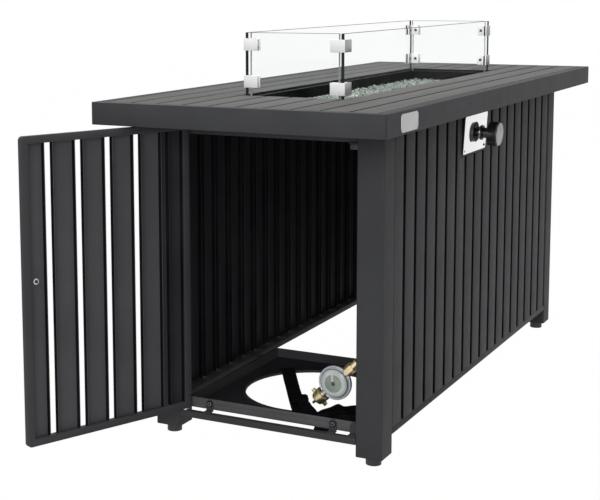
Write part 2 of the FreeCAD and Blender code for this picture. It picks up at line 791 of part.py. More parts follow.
def make_burner():
    """A low trough burner on the pan's floor, with its inlet through the floor and an elbow."""
    floor_z = size("pan_bottom") + size("pan_wall")
    trough = bar("burner_trough", BURNER_LENGTH, BURNER_WIDTH, BURNER_HEIGHT,
                 -BURNER_LENGTH / 2, -BURNER_WIDTH / 2, floor_z)
    elbow_top = size("pan_bottom") - 10
    stub = rod("burner_stub", 8, 14, Vector(INLET_X, 0, elbow_top - 1))
    elbow = bar("burner_elbow", ELBOW, ELBOW, ELBOW, INLET_X - ELBOW / 2, -ELBOW / 2, elbow_top - ELBOW)
    sub_part("linear_burner", fuse("linear_burner", [trough, stub, elbow]))


def make_fire_glass():
    """The bed of glass pebbles fills the well up to its level, round the burner."""
    gap = 0.5
    floor_z = "dims.pan_bottom + dims.pan_wall"
    bed_length = f"dims.pan_length - 2 * dims.pan_ledge - 2 * dims.pan_wall - {2 * gap}"
    bed_width = f"dims.pan_width - 2 * dims.pan_ledge - 2 * dims.pan_wall - {2 * gap}"
    bed = bar("glass_bed", bed_length, bed_width, f"dims.pebble_top - ({floor_z})",
              f"-({bed_length}) / 2", f"-({bed_width}) / 2", floor_z)
    room = bar("burner_room", BURNER_LENGTH + 2 * gap, BURNER_WIDTH + 2 * gap, BURNER_HEIGHT + gap + 5,
               -BURNER_LENGTH / 2 - gap, -BURNER_WIDTH / 2 - gap, f"{floor_z} - 5")
    sub_part("fire_glass", cut("fire_glass", bed, room))


# Wind guard

CORNER_GAP = 4
CLAMP_SPAN = 27
CLAMP_HEIGHT = 23
CLAMP_PLATE = 3
CLAMP_LEVELS = (649, 718)
LOWEST_CLAMP = 640


def make_glass():
    """Two long panes and two end panes, which stop short of them at each corner."""
    bottom = "dims.table_height - 2 - 3"
    height = f"dims.guard_top - ({bottom})"
    end_width = f"dims.guard_width - 2 * dims.glass - {2 * CORNER_GAP}"
    panes = {
        "glass_pane_control_side": ("dims.guard_length", "dims.glass",
                                    "-dims.guard_length / 2", "-dims.guard_width / 2"),
        "glass_pane_far_side": ("dims.guard_length", "dims.glass",
                                "-dims.guard_length / 2", "dims.guard_width / 2 - dims.glass"),
        "glass_pane_door_end": ("dims.glass", end_width,
                                "-dims.guard_length / 2", f"-({end_width}) / 2"),
        "glass_pane_tail_end": ("dims.glass", end_width,
                                "dims.guard_length / 2 - dims.glass", f"-({end_width}) / 2"),
    }
    for label, (length, width, x, y) in panes.items():
        sub_part(label, bar(label, length, width, height, x, y, bottom))


def clamp(name):
    """A corner clamp drawn for the corner at its origin with the glass in the +X +Y quarter: an
    angle outside the glass and a smaller angle inside it, joined through the gap between the panes."""
    glass = size("glass")
    outer = CLAMP_PLATE
    inner = glass + CLAMP_PLATE
    body = new_body(name)
    sketch = new_sketch(body, "plan")
    draw(sketch, [(-outer, -outer, 2.5), (CLAMP_SPAN, -outer), (CLAMP_SPAN, 0), (0, 0),
                  (0, CLAMP_SPAN), (-outer, CLAMP_SPAN)])
    pad(body, sketch, CLAMP_HEIGHT)
    inside = new_sketch(body, "inside")
    draw(inside, [(glass, glass), (CLAMP_SPAN, glass), (CLAMP_SPAN, inner), (inner, inner),
                  (inner, CLAMP_SPAN), (glass, CLAMP_SPAN)])
    pad(body, inside, CLAMP_HEIGHT)
    web = new_sketch(body, "web")
    draw(web, [(-1, glass + 1), (inner - 1, glass + 1), (inner - 1, glass + CORNER_GAP - 1),
               (-1, glass + CORNER_GAP - 1)])
    pad(body, web, CLAMP_HEIGHT)
    return body


def make_clamps():
    """Two clamps at each corner of the guard. The lowest is at the door's end, control side."""
    half_x = size("guard_length") / 2
    half_y = size("guard_width") / 2
    pattern = clamp("clamp_pattern")
    doc.recompute()
    handed = {1: pattern.Shape.copy(), -1: pattern.Shape.mirror(Vector(0, 0, 0), Vector(1, 0, 0))}
    clamps = []
    screws = []
    for level in CLAMP_LEVELS:
        for sign_x in (-1, 1):
            for sign_y in (-1, 1):
                end = "door" if sign_x < 0 else "tail"
                side = "control" if sign_y < 0 else "far"
                name = f"clamp_{level}_{end}_{side}"
                lowest = level == CLAMP_LEVELS[0] and end == "door" and side == "control"
                corner = Vector(sign_x * half_x, sign_y * half_y, LOWEST_CLAMP if lowest else level)
                solid = doc.addObject("Part::Feature", name)
                solid.Shape = handed[sign_x * sign_y]
                solid.Placement = Placement(corner, Rotation(UP, 180 if sign_y > 0 else 0))
                clamps.append(solid)
                for along_x in (True, False):
                    screws.append(clamp_screw(f"{name}_screw_{'x' if along_x else 'y'}",
                                              corner, sign_x, sign_y, along_x))
    sub_part("guard_clamps", group("guard_clamps", clamps))
    sub_part("guard_clamp_screws", group("guard_clamp_screws", screws))


def clamp_screw(name, corner, sign_x, sign_y, along_x):
    """The head of a clamp screw, on the inner angle. Twelve flats stand for its round edge."""
    depth = size("glass") + CLAMP_PLATE
    place_along = 19
    if along_x:
        offset = Vector(-sign_x * place_along, -sign_y * depth, CLAMP_HEIGHT / 2)
        inward = Vector(0, -sign_y, 0)
    else:
        offset = Vector(-sign_x * depth, -sign_y * place_along, CLAMP_HEIGHT / 2)
        inward = Vector(-sign_x, 0, 0)
    screw = doc.addObject("Part::Prism", name)
    screw.Polygon = 12
    screw.Circumradius = 3.6
    screw.Height = 1.6
    screw.Placement = Placement(corner + offset, Rotation(UP, inward))
    return screw


# Gas control on the long side. Its frame: origin on the plate's face at the knob's axis, Y inwards

CONTROL_PLACE = Placement(
    Vector(CONTROL_CENTRE_X, -SIDE_Y - PLATE_STANDOFF, CONTROL_CENTRE_Z),
    Rotation(Vector(1, 0, 0), size("control_tilt")))
KNOB_OFFSET_X = 36
KNOB_OFFSET_Z = -3
KNOB_PLACE = CONTROL_PLACE.multiply(Placement(Vector(KNOB_OFFSET_X, 0, KNOB_OFFSET_Z), Rotation()))
COLLAR_HEIGHT = 4
PORT_DEPTH = 30
PORT_REACH = 34


def make_control_plate():
    """A polished plate that stands off the slats, with a collar round the knob's hole."""
    body = new_body("control_plate")
    face = new_sketch(body, "face", "XZ_Plane")
    length = size("control_plate_length")
    height = size("control_plate_height")
    draw(face, [(-length / 2, -height / 2, 3), (length / 2, -height / 2, 3),
                (length / 2, height / 2, 3), (-length / 2, height / 2, 3)])
    pad(body, face, 2, reversed_way=True)
    collar = new_sketch(body, "collar", "XZ_Plane")
    circle(collar, KNOB_OFFSET_X, KNOB_OFFSET_Z, 30)
    pad(body, collar, COLLAR_HEIGHT)
    hole = new_sketch(body, "hole", "XZ_Plane", COLLAR_HEIGHT)
    circle(hole, KNOB_OFFSET_X, KNOB_OFFSET_Z, 23)
    pocket(body, hole, COLLAR_HEIGHT + 2)
    body.Placement = CONTROL_PLACE
    sub_part("control_plate", body)


def sleeve_block(name, wall, front, depth):
    """A block behind the plate, a shadow gap and wall inside its edges."""
    inset = SHADOW_GAP + wall
    block = doc.addObject("Part::Box", name)
    bind(block, Length=f"dims.control_plate_length - {2 * inset}", Width=depth,
         Height=f"dims.control_plate_height - {2 * inset}")
    corner = Vector(inset - size("control_plate_length") / 2, front,
                    inset - size("control_plate_height") / 2)
    block.Placement = CONTROL_PLACE.multiply(Placement(corner, Rotation()))
    return block


def make_control_bezel():
    """The surround that closes the cut slats, with the tilted sleeve that carries the plate."""
    border = BEZEL_BORDER - 0.5
    wall = 4
    outer = bar("bezel_outer", f"dims.control_plate_length + {2 * border}", "dims.slat_depth",
                f"dims.control_plate_height + {2 * border}",
                f"{CONTROL_CENTRE_X - border} - dims.control_plate_length / 2", "-dims.leg_span_y / 2",
                f"{CONTROL_CENTRE_Z - border} - dims.control_plate_height / 2")
    sleeve = sleeve_block("sleeve", 0, 2.1, 14)
    opening = sleeve_block("sleeve_opening", wall, -10, 40)
    sub_part("control_bezel", cut("control_bezel", fuse("bezel_solid", [outer, sleeve]), opening))


def make_valve():
    """A brass tap behind the plate: a square body bored for the stem, with a port at each side."""
    width = 26
    body = new_body("gas_valve")
    block = new_sketch(body, "block", "XZ_Plane", -3)
    draw(block, [(-width / 2, -width / 2), (width / 2, -width / 2), (width / 2, width / 2),
                 (-width / 2, width / 2)])
    pad(body, block, 35, reversed_way=True)
    stem_hole = new_sketch(body, "stem_hole", "XZ_Plane", -3)
    circle(stem_hole, 0.001, 0.001, "dims.pin_diameter + 2 * dims.running_clearance")
    pocket(body, stem_hole, 19)
    ports = new_sketch(body, "ports", "YZ_Plane", f"-{PORT_REACH}")
    circle(ports, PORT_DEPTH, 0.001, 12)
    pad(body, ports, 2 * PORT_REACH)
    body.Placement = KNOB_PLACE
    sub_part("gas_valve", body)


def make_stem():
    radius = size("pin_diameter") / 2
    stem = [(0, -32), (radius, -32), (radius, 18), (0, 18)]
    sub_part("valve_stem", turned_piece("valve_stem", stem, KNOB_PLACE, "V_Axis"))


KNOB_FRONT = 39.5
KNOB_NECK = 17
FACE_RADIUS = 23.5
FACE_THICKNESS = 1.5


def make_knob():
    """A round knob on a neck that enters the plate's hole, and the metal face on its front."""
    bore = size("pin_diameter") / 2 + size("running_clearance")
    radius = size("knob_diameter") / 2
    seat = FACE_THICKNESS - KNOB_FRONT
    knob = [(bore, -1), (10.5, -1), (10.5, -KNOB_NECK), (radius, -KNOB_NECK), (radius, seat), (0, seat),
            (0, -32.5), (bore, -32.5)]
    sub_part("control_knob", turned_piece("control_knob", knob, KNOB_PLACE, "V_Axis"))
    face = new_body("knob_face")
    disc = new_sketch(face, "disc")
    draw(disc, [(0, seat), (FACE_RADIUS, seat), (FACE_RADIUS, -KNOB_FRONT), (0, -KNOB_FRONT)])
    turn(face, disc, "V_Axis")
    ridge = new_sketch(face, "ridge", "XZ_Plane", KNOB_FRONT)
    draw(ridge, [(-2.5, -18), (2.5, -18), (2.5, 18), (-2.5, 18)])
    pad(face, ridge, 1.5)
    face.Placement = KNOB_PLACE
    sub_part("knob_face", face)


def make_supply_tube():
    """The metal tube from the valve's outlet to the burner's elbow, with an elbow at its corner."""
    start = KNOB_PLACE.multVec(Vector(PORT_REACH, PORT_DEPTH, 0))
    corner = Vector(INLET_X, start.y, start.z)
    across = rod("tube_across", 5, corner.x - start.x, start, Vector(1, 0, 0))
    along = rod("tube_along", 5, -ELBOW / 2 - corner.y, corner, Vector(0, 1, 0))
    joint = bar("tube_joint", 14, 14, 14, corner.x - 7, corner.y - 7, corner.z - 7)
    sub_part("supply_tube", fuse("supply_tube", [across, along, joint]))


# Regulator. Its frame: X along its gas way towards the hose, Z out of its round face

GAS_WAY = Vector(0, -math.sqrt(0.5), math.sqrt(0.5))
FACE_WAY = Vector(-1, 0, 0)
REGULATOR_CENTRE = Vector(-500, -114, 126)
REGULATOR_PLACE = Placement(
    REGULATOR_CENTRE, Rotation(GAS_WAY, FACE_WAY.cross(GAS_WAY), FACE_WAY, "XZY"))


def make_regulator_body():
    """Two pressed shells joined by a crimped flange, with a boss on each side for the gas way."""
    radius = size("regulator_diameter") / 2
    body = new_body("regulator_body")
    shells = new_sketch(body, "shells", "XZ_Plane")
    draw(shells, [(0, -13), (16, -13), (24, -3), (radius, -3), (radius, 3), (22, 9), (0, 9)])
    turn(body, shells, "V_Axis")
    gas_way = new_sketch(body, "gas_way")
    draw(gas_way, [(-31, 0), (-31, 7), (31, 7), (31, 0)])
    turn(body, gas_way, "H_Axis")
    body.Placement = REGULATOR_PLACE
    sub_part("regulator_body", body)


def regulator_turned(label, points):
    return sub_part(label, turned_piece(label, points, REGULATOR_PLACE))


def make_regulator_fittings():
    cover = turned_piece("regulator_cover", [(0, 9.1), (19, 9.1), (19, 12), (0, 12)],
                         REGULATOR_PLACE, "V_Axis", "XZ_Plane")
    sub_part("regulator_cover", cover)
    regulator_turned("regulator_nipple", [(-31.1, 0), (-31.1, 6), (-52, 6), (-52, 2.5),
                                          (-62, 2.5), (-62, 0)])
    nut_clearance = 6 + size("running_clearance")
    nut = new_body("regulator_nut")
    ring = new_sketch(nut, "ring")
    draw(ring, [(-33, nut_clearance), (-33, 14), (-50, 12), (-50, nut_clearance)])
    turn(nut, ring, "H_Axis")
    wing = new_sketch(nut, "wing", level=-2)
    draw(wing, [(-48, 10), (-47, 19), (-41, 19), (-39, 10)])
    lug = pad(nut, wing, 4)
    repeat_round(nut, lug, ring, "H_Axis", 2)
    nut.Placement = REGULATOR_PLACE
    sub_part("regulator_nut", nut)
    outlet = new_body("regulator_outlet")
    hexagon = new_sketch(outlet, "hexagon", "YZ_Plane", level=31.1)
    across = 9.8
    draw(hexagon, [(across * math.cos(math.radians(60 * i)), across * math.sin(math.radians(60 * i)))
                   for i in range(6)])
    pad(outlet, hexagon, 18)
    ferrule = new_sketch(outlet, "ferrule")
    draw(ferrule, [(48, 0), (48, 7.2), (62, 7.2), (62, 0)])
    turn(outlet, ferrule, "H_Axis")
    outlet.Placement = REGULATOR_PLACE
    sub_part("regulator_outlet", outlet)


# Gas hose: the route's points, then straight runs joined by tangent arcs

HOSE_END = KNOB_PLACE.multVec(Vector(-PORT_REACH, PORT_DEPTH, 0))
HOSE_ROUTE = [
    REGULATOR_CENTRE + GAS_WAY * 62.1,
    REGULATOR_CENTRE + GAS_WAY * 113,
    Vector(-499, -203, 304),
    Vector(-492, -204, 455),
    Vector(-410, -203, 552),
    Vector(-245, -204, 557),
    HOSE_END - Vector(0.5, 0, 0),
]


def tangent_route(points):
    """Straight runs through points, joined by arcs as large as their runs allow."""
    edges = []
    start = points[0]
    radii = []
    for i in range(1, len(points) - 1):
        before = points[i - 1] - points[i]
        after = points[i + 1] - points[i]
        shorter = min(before.Length, after.Length)
        half_turn = (math.pi - before.getAngle(after)) / 2
        tangent = 0.45 * shorter
        radius = tangent / math.tan(half_turn)
        radii.append(round(radius, 1))
        before.normalize()
        after.normalize()
        arc_start = points[i] + before * tangent
        arc_end = points[i] + after * tangent
        bisector = before + after
        bisector.normalize()
        middle = points[i] + bisector * (radius / math.cos(half_turn) - radius)
        edges.append(Part.LineSegment(start, arc_start).toShape())
        edges.append(Part.Arc(arc_start, middle, arc_end).toShape())
        start = arc_end
    edges.append(Part.LineSegment(start, points[-1]).toShape())
    print("hose arc radii", radii)
    return Part.Wire(edges)


def make_hose():
    radius = size("hose_diameter") / 2
    path = tangent_route(HOSE_ROUTE)
    circle_wire = Part.Wire(Part.makeCircle(radius, HOSE_ROUTE[0], HOSE_ROUTE[1] - HOSE_ROUTE[0]))
    hose = doc.addObject("Part::Feature", "gas_hose")
    hose.Shape = path.makePipe(Part.Face(circle_wire))
    expected = math.pi * radius ** 2 * path.Length
    print("hose length", round(path.Length, 1), "volume against section times length",
          round(hose.Shape.Volume / expected, 4))
    sub_part("gas_hose", hose)


def make_hose_clips():
    """Two clips that hold the hose: one on the leg, one under the upper rail."""
    hose = size("hose_diameter") / 2
    wall = 3
    across = 2 * (hose + wall)
    low = Vector(-495.2, -203.5, 385)
    low_block = bar("low_clip_block", low.x + across / 2 + INNER_X, across, 12,
                    -INNER_X, low.y - across / 2, low.z)
    low_bore = rod("low_clip_bore", hose + 0.5, 20, low - Vector(0.2, 0, 4), Vector(7, -1, 151))
    high = Vector(-330, -203.5, 554.4)
    high_block = bar("high_clip_block", 12, across, UNDER_TOP - 12 - high.z + across / 2,
                     high.x, high.y - across / 2, high.z - across / 2)
    high_bore = rod("high_clip_bore", hose + 0.5, 20, high - Vector(4, 0, 0.1), Vector(165, -1, 5))
    low = cut("low_clip", low_block, low_bore)
    high = cut("high_clip", high_block, high_bore)
    sub_part("hose_clips", group("hose_clips", [low, high]))


# Blank plate on the fascia

def make_badge():
    """A plain rounded plate near the door end of the control side's fascia."""
    body = new_body("badge_plate")
    face = new_sketch(body, "face", "XZ_Plane")
    draw(face, [(0, 0, 8), (80, 0, 8), (80, 31, 8), (0, 31, 8)])
    pad(body, face, 1)
    body.Placement = Placement(Vector(-621, -size("top_width") / 2, 599), Rotation())
    sub_part("badge_plate", body)


make_fascia()
make_bearers()
make_boards()
make_legs()
make_side_rails()
make_door_end_rails()
make_panels()
make_door_frame()
make_door_slats()
make_door_pins()
make_door_pull()
make_catch()
make_tray()
make_tray_screws()
make_tray_bearer()
make_straps()
make_pan()
make_burner()
make_fire_glass()
make_glass()
make_clamps()
make_control_plate()
make_control_bezel()
make_valve()
make_stem()
make_knob()
make_supply_tube()
make_regulator_body()
make_regulator_fittings()
make_hose()
make_hose_clips()
make_badge()
doc.recompute()

# Checks, then one file for each piece

for item in doc.Objects:
    if "Invalid" in item.State or "Error" in item.State:
        raise RuntimeError(f"{item.Name} failed: {item.State}")

for piece in sub_parts:
    shape = piece.Shape
    if shape.isNull() or not shape.isValid() or not shape.Solids:
        raise RuntimeError(f"{piece.Label} has no valid solid")
    shape.exportStep(f"parts/{piece.Label}.step")
print(len(sub_parts), "pieces")
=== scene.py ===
import json
import math
import random

import bmesh
import bpy
from mathutils import Matrix, Vector


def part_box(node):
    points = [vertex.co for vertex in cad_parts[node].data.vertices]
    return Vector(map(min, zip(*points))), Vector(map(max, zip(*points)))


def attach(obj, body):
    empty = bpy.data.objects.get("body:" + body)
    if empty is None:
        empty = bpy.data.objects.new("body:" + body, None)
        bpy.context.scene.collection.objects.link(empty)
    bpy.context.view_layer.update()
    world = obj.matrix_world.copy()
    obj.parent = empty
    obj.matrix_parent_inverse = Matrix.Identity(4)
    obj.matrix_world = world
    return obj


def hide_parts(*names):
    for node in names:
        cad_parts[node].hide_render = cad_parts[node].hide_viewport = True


# A gas fire pit table dressed over its CAD frame: finishes, fire glass, hose, webbing and fittings.
# Lengths are metres in the frame of the part: +X along the top away from the door, -Y towards the
# control side, +Z up.

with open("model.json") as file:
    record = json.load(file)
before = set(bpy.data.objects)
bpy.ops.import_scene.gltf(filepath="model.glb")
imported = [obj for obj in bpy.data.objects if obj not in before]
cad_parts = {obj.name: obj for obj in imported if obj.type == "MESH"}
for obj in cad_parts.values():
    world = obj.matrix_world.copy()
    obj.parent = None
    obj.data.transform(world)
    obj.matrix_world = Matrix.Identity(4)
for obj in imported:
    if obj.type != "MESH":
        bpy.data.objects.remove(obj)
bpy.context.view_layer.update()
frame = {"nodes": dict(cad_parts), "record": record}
RECORD = frame["record"]
BODY_OF = {node: body for body, nodes in RECORD["behaviour"]["bodies"].items() for node in nodes}
SLOT_OF = {part["node"]: part["material_slot"] for part in RECORD["subparts"]}
MM = 0.001


# Camera, as fitted to the photograph

CAMERA_PLACE = Vector((-2.6519, -1.0457, 0.8391))
YAW, PITCH, ROLL = (math.radians(a) for a in (28.0254, 7.3986, -0.3117))
FOCAL_LENGTH, SENSOR_WIDTH = 80.0, 36
LENS_SHIFT = (0.1173, -0.1526)
FARTHEST_SEEN = 50


def make_camera():
    forward = Vector((math.cos(YAW) * math.cos(PITCH), math.sin(YAW) * math.cos(PITCH),
                      -math.sin(PITCH)))
    level = Vector((math.sin(YAW), -math.cos(YAW), 0))
    upright = level.cross(forward)
    right = math.cos(ROLL) * level + math.sin(ROLL) * upright
    up = math.cos(ROLL) * upright - math.sin(ROLL) * level
    data = bpy.data.cameras.new("camera")
    data.sensor_width = SENSOR_WIDTH
    data.lens = FOCAL_LENGTH
    data.shift_x, data.shift_y = LENS_SHIFT
    data.clip_end = FARTHEST_SEEN
    camera = bpy.data.objects.new("camera", data)
    bpy.context.scene.collection.objects.link(camera)
    axes = Matrix((right, up, -forward)).transposed().to_4x4()
    camera.matrix_world = Matrix.Translation(CAMERA_PLACE) @ axes
    bpy.context.scene.camera = camera


make_camera()


# Materials

def new_material(name, colour, roughness, **sockets):
    """A Principled material, with constants on the shader's own sockets."""
    material = bpy.data.materials.new(name)
    material.use_nodes = True
    shader = material.node_tree.nodes["Principled BSDF"]
    shader.inputs["Base Color"].default_value = (*colour, 1)
    shader.inputs["Roughness"].default_value = roughness
    for socket, value in sockets.items():
        shader.inputs[socket.replace("_", " ")].default_value = value
    return material, shader


def texture_place(material, stretch=(1, 1, 1), turned=(0, 0, 0)):
    """Object coordinates in metres, stretched so that a pattern can run one way."""
    nodes, links = material.node_tree.nodes, material.node_tree.links
    place = nodes.new("ShaderNodeTexCoord")
    mapping = nodes.new("ShaderNodeMapping")
    mapping.inputs["Scale"].default_value = stretch
    mapping.inputs["Rotation"].default_value = turned
    links.new(place.outputs["Object"], mapping.inputs["Vector"])
    return mapping.outputs["Vector"]


def noise_value(material, scale, detail=3, stretch=(1, 1, 1)):
    """Noise from 0 to 1, with scale ripples in a metre."""
    nodes, links = material.node_tree.nodes, material.node_tree.links
    noise = nodes.new("ShaderNodeTexNoise")
    noise.inputs["Scale"].default_value = scale
    noise.inputs["Detail"].default_value = detail
    links.new(texture_place(material, stretch), noise.inputs["Vector"])
    return noise.outputs["Fac"]


def blend_colours(material, shader, value, dark, light, low=0.35, high=0.65):
    """A base colour that goes from dark to light as the value goes from low to high."""
    nodes, links = material.node_tree.nodes, material.node_tree.links
    ramp = nodes.new("ShaderNodeValToRGB")
    ramp.color_ramp.elements[0].position = low
    ramp.color_ramp.elements[1].position = high
    ramp.color_ramp.elements[0].color = (*dark, 1)
    ramp.color_ramp.elements[1].color = (*light, 1)
    links.new(value, ramp.inputs["Fac"])
    links.new(ramp.outputs["Color"], shader.inputs["Base Color"])


def vary_roughness(material, shader, value, low, high):
    """A roughness that goes from low to high as the value goes from 0 to 1."""
    nodes, links = material.node_tree.nodes, material.node_tree.links
    remap = nodes.new("ShaderNodeMapRange")
    remap.inputs["To Min"].default_value = low
    remap.inputs["To Max"].default_value = high
    links.new(value, remap.inputs["Value"])
    links.new(remap.outputs["Result"], shader.inputs["Roughness"])


def add_bump(material, shader, value, height, strength=0.5):
    """Relief of the given height in metres that follows the value."""
    nodes, links = material.node_tree.nodes, material.node_tree.links
    bump = nodes.new("ShaderNodeBump")
    bump.inputs["Strength"].default_value = strength
    bump.inputs["Distance"].default_value = height
    links.new(value, bump.inputs["Height"])
    links.new(bump.outputs["Normal"], shader.inputs["Normal"])


def paint(name, dark, light, roughness, stretch, grain=0.00012, **sockets):
    """Textured paint on metal: slow streaks of tone and a fine orange-peel grain."""
    material, shader = new_material(name, light, roughness, **sockets)
    streaks = noise_value(material, scale=9, detail=5, stretch=stretch)
    blend_colours(material, shader, streaks, dark, light)
    gloss = noise_value(material, scale=40)
    vary_roughness(material, shader, gloss, roughness - 0.06, roughness + 0.08)
    add_bump(material, shader, noise_value(material, scale=1400, detail=2), grain)
    return material


def metal(name, colour, roughness, stretch=(1, 1, 1), scratches=0.00004):
    """Bare metal with fine scratches along one direction and slightly uneven gloss."""
    material, shader = new_material(name, colour, roughness, Metallic=1.0)
    gloss = noise_value(material, scale=60)
    vary_roughness(material, shader, gloss, max(roughness - 0.04, 0.02), roughness + 0.06)
    lines = noise_value(material, scale=900, detail=2, stretch=stretch)
    add_bump(material, shader, lines, scratches, strength=0.25)
    return material


def plastic(name, dark, light, roughness, grain=0.00005, **sockets):
    """Moulded plastic or rubber: an even tone under a very fine grain."""
    material, shader = new_material(name, light, roughness, **sockets)
    blend_colours(material, shader, noise_value(material, scale=30), dark, light)
    gloss = noise_value(material, scale=80)
    vary_roughness(material, shader, gloss, roughness - 0.05, roughness + 0.07)
    add_bump(material, shader, noise_value(material, scale=2500, detail=1), grain)
    return material


def clear_glass():
    """Pane glass. Its index is far below real glass, so that reflections stay faint."""
    material, shader = new_material("clear_glass", (0.97, 0.98, 0.975), 0.0,
                                    Transmission_Weight=1.0, IOR=1.06)
    blend_colours(material, shader, noise_value(material, scale=4),
                  (0.96, 0.972, 0.966), (0.98, 0.988, 0.984))
    return material


def glass_edge(name, dark, light):
    """The cut edge of a pane: the glass's own green, darkened as painted shade or lightened as
    painted light.
    """
    material, shader = new_material(name, light, 0.5, Specular_IOR_Level=0.1)
    blend_colours(material, shader, noise_value(material, scale=25), dark, light)
    return material


def pebble_glass():
    """Tumbled glass, each pebble in its own shade between dark and pale sea green."""
    material, shader = new_material("pebble_glass", (0.4, 0.46, 0.4), 0.15, IOR=1.5,
                                    Transmission_Weight=0.15, Coat_Weight=0.5, Coat_Roughness=0.05)
    nodes = material.node_tree.nodes
    shade = nodes.new("ShaderNodeNewGeometry").outputs["Random Per Island"]
    blend_colours(material, shader, shade, (0.03, 0.05, 0.04), (0.30, 0.37, 0.31), low=0, high=1)
    add_bump(material, shader, noise_value(material, scale=300), 0.0003)
    return material


RIBS = 210
RIB_DISTORTION = 0.6
RIB_ANGLE = math.radians(28)


def webbing_weave():
    """Black webbing: ribs that cross at right angles."""
    material, shader = new_material("webbing", (0.01, 0.01, 0.01), 0.85, Specular_IOR_Level=0.1)
    nodes, links = material.node_tree.nodes, material.node_tree.links
    ribs = []
    for direction in ("X", "Y"):
        wave = nodes.new("ShaderNodeTexWave")
        wave.bands_direction = direction
        wave.inputs["Scale"].default_value = RIBS
        wave.inputs["Distortion"].default_value = RIB_DISTORTION
        links.new(texture_place(material, turned=(0, 0, RIB_ANGLE)), wave.inputs["Vector"])
        ribs.append(wave.outputs["Fac"])
    product = nodes.new("ShaderNodeMath")
    product.operation = "MULTIPLY"
    links.new(ribs[0], product.inputs[0])
    links.new(ribs[1], product.inputs[1])
    blend_colours(material, shader, product.outputs["Value"],
                  (0.002, 0.002, 0.002), (0.011, 0.010, 0.011), low=0, high=1)
    add_bump(material, shader, product.outputs["Value"], 0.0004, strength=0.8)
    return material


EVEN = (1, 1, 1)
MATERIALS = {
    "powder_coat": paint("powder_coat", (0.046, 0.047, 0.050), (0.054, 0.055, 0.058), 0.55, EVEN,
                         Specular_IOR_Level=0.08),
    "board_paint": paint("board_paint", (0.116, 0.115, 0.113), (0.136, 0.135, 0.132), 0.6,
                         (0.3, 4, 1), Specular_IOR_Level=0.05),
    "black_steel": paint("black_steel", (0.006, 0.006, 0.007), (0.016, 0.016, 0.017), 0.65, EVEN,
                         Specular_IOR_Level=0.0),
    "glide_plastic": plastic("glide_plastic", (0.010, 0.010, 0.010), (0.018, 0.018, 0.018), 0.55),
    "clear_glass": clear_glass(),
    "pebble_glass": pebble_glass(),
    "polished_steel": metal("polished_steel", (0.82, 0.82, 0.83), 0.04, (1, 1, 0.1),
                            scratches=0.00002),
    "plated_screws": metal("plated_screws", (0.55, 0.55, 0.56), 0.3),
    "brass": metal("brass", (0.72, 0.60, 0.34), 0.36, (1, 4, 1)),
    "cast_zinc": metal("cast_zinc", (0.50, 0.51, 0.57), 0.42, scratches=0.0001),
    "cover_plastic": plastic("cover_plastic", (0.16, 0.20, 0.17), (0.27, 0.32, 0.28), 0.18,
                             Coat_Weight=0.6),
    "hose_rubber": plastic("hose_rubber", (0.010, 0.010, 0.011), (0.020, 0.020, 0.021), 0.5,
                           grain=0.0002),
    "webbing": webbing_weave(),
    "knob_plastic": plastic("knob_plastic", (0.006, 0.006, 0.007), (0.012, 0.012, 0.013), 0.3),
    "knob_metal": metal("knob_metal", (0.30, 0.30, 0.31), 0.38, (0.1, 1, 1)),
    "blank_plate": metal("blank_plate", (0.42, 0.42, 0.42), 0.35, (0.1, 1, 1)),
    "magnet_case": plastic("magnet_case", (0.010, 0.010, 0.010), (0.02, 0.02, 0.02), 0.5),
}

# Finishes of single faces and of pieces that the slots don't tell apart, among them painted light
# and painted shade
# Glass edges by the axis they face: painted shade along X and Z, painted light along Y
TOP_EDGE_PAINTED_SHADE = glass_edge("glass_top_edge_painted_shade", (0.055, 0.065, 0.062), (0.10, 0.115, 0.11))
EDGE_PAINTED_SHADE = glass_edge("glass_edge_painted_shade", (0.010, 0.014, 0.013), (0.03, 0.038, 0.036))
EDGE_PAINTED_LIGHT = glass_edge("glass_edge_painted_light", (0.26, 0.31, 0.29), (0.36, 0.41, 0.39))
# Near black painted shade for slots, recesses, channel walls, board gaps and walls that stand in
# shadow
PAINTED_DEEP_SHADE = paint("painted_deep_shade", (0.006, 0.006, 0.007), (0.011, 0.011, 0.012), 0.7, EVEN,
                    Specular_IOR_Level=0.0)
# Painted shade for the gaps between the top boards
JOINT_PAINTED_SHADE = paint("joint_painted_shade", (0.004, 0.004, 0.004), (0.009, 0.009, 0.009), 0.7, EVEN,
                    Specular_IOR_Level=0.0)
# The polished clamps in painted reflection: white on faces along X and Z, grey painted shade on
# faces along Y
CLAMP_PAINTED_REFLECTION = plastic("clamp_painted_reflection", (0.96, 0.96, 0.96), (0.98, 0.98, 0.98), 0.3)
CLAMP_PAINTED_SHADE = plastic("clamp_painted_shade", (0.34, 0.34, 0.35), (0.46, 0.46, 0.47), 0.3, Metallic=0.2)
# Painted shade for the cabinet's inside: the slats' inner faces, the tray floor and the door slat
# by the hinge
INNER_PAINTED_SHADE = paint("inner_painted_shade", (0.022, 0.021, 0.025), (0.028, 0.027, 0.031), 0.6, EVEN,
                   Specular_IOR_Level=0.1)
# Painted light on the tray lip's faces towards the door end
LIP_PAINTED_LIGHT = paint("lip_painted_light", (0.078, 0.079, 0.082), (0.095, 0.096, 0.100), 0.5, EVEN,
                 Specular_IOR_Level=0.15)
# Painted light: the door slats' faces towards -Y, lighter than the frame's paint
DOOR_PAINTED_LIGHT = paint("door_painted_light", (0.060, 0.061, 0.065), (0.070, 0.071, 0.075), 0.55, EVEN,
                  Specular_IOR_Level=0.15)
LENS_RIM = plastic("lens_rim", (0.42, 0.46, 0.43), (0.58, 0.62, 0.60), 0.2, Coat_Weight=0.5)
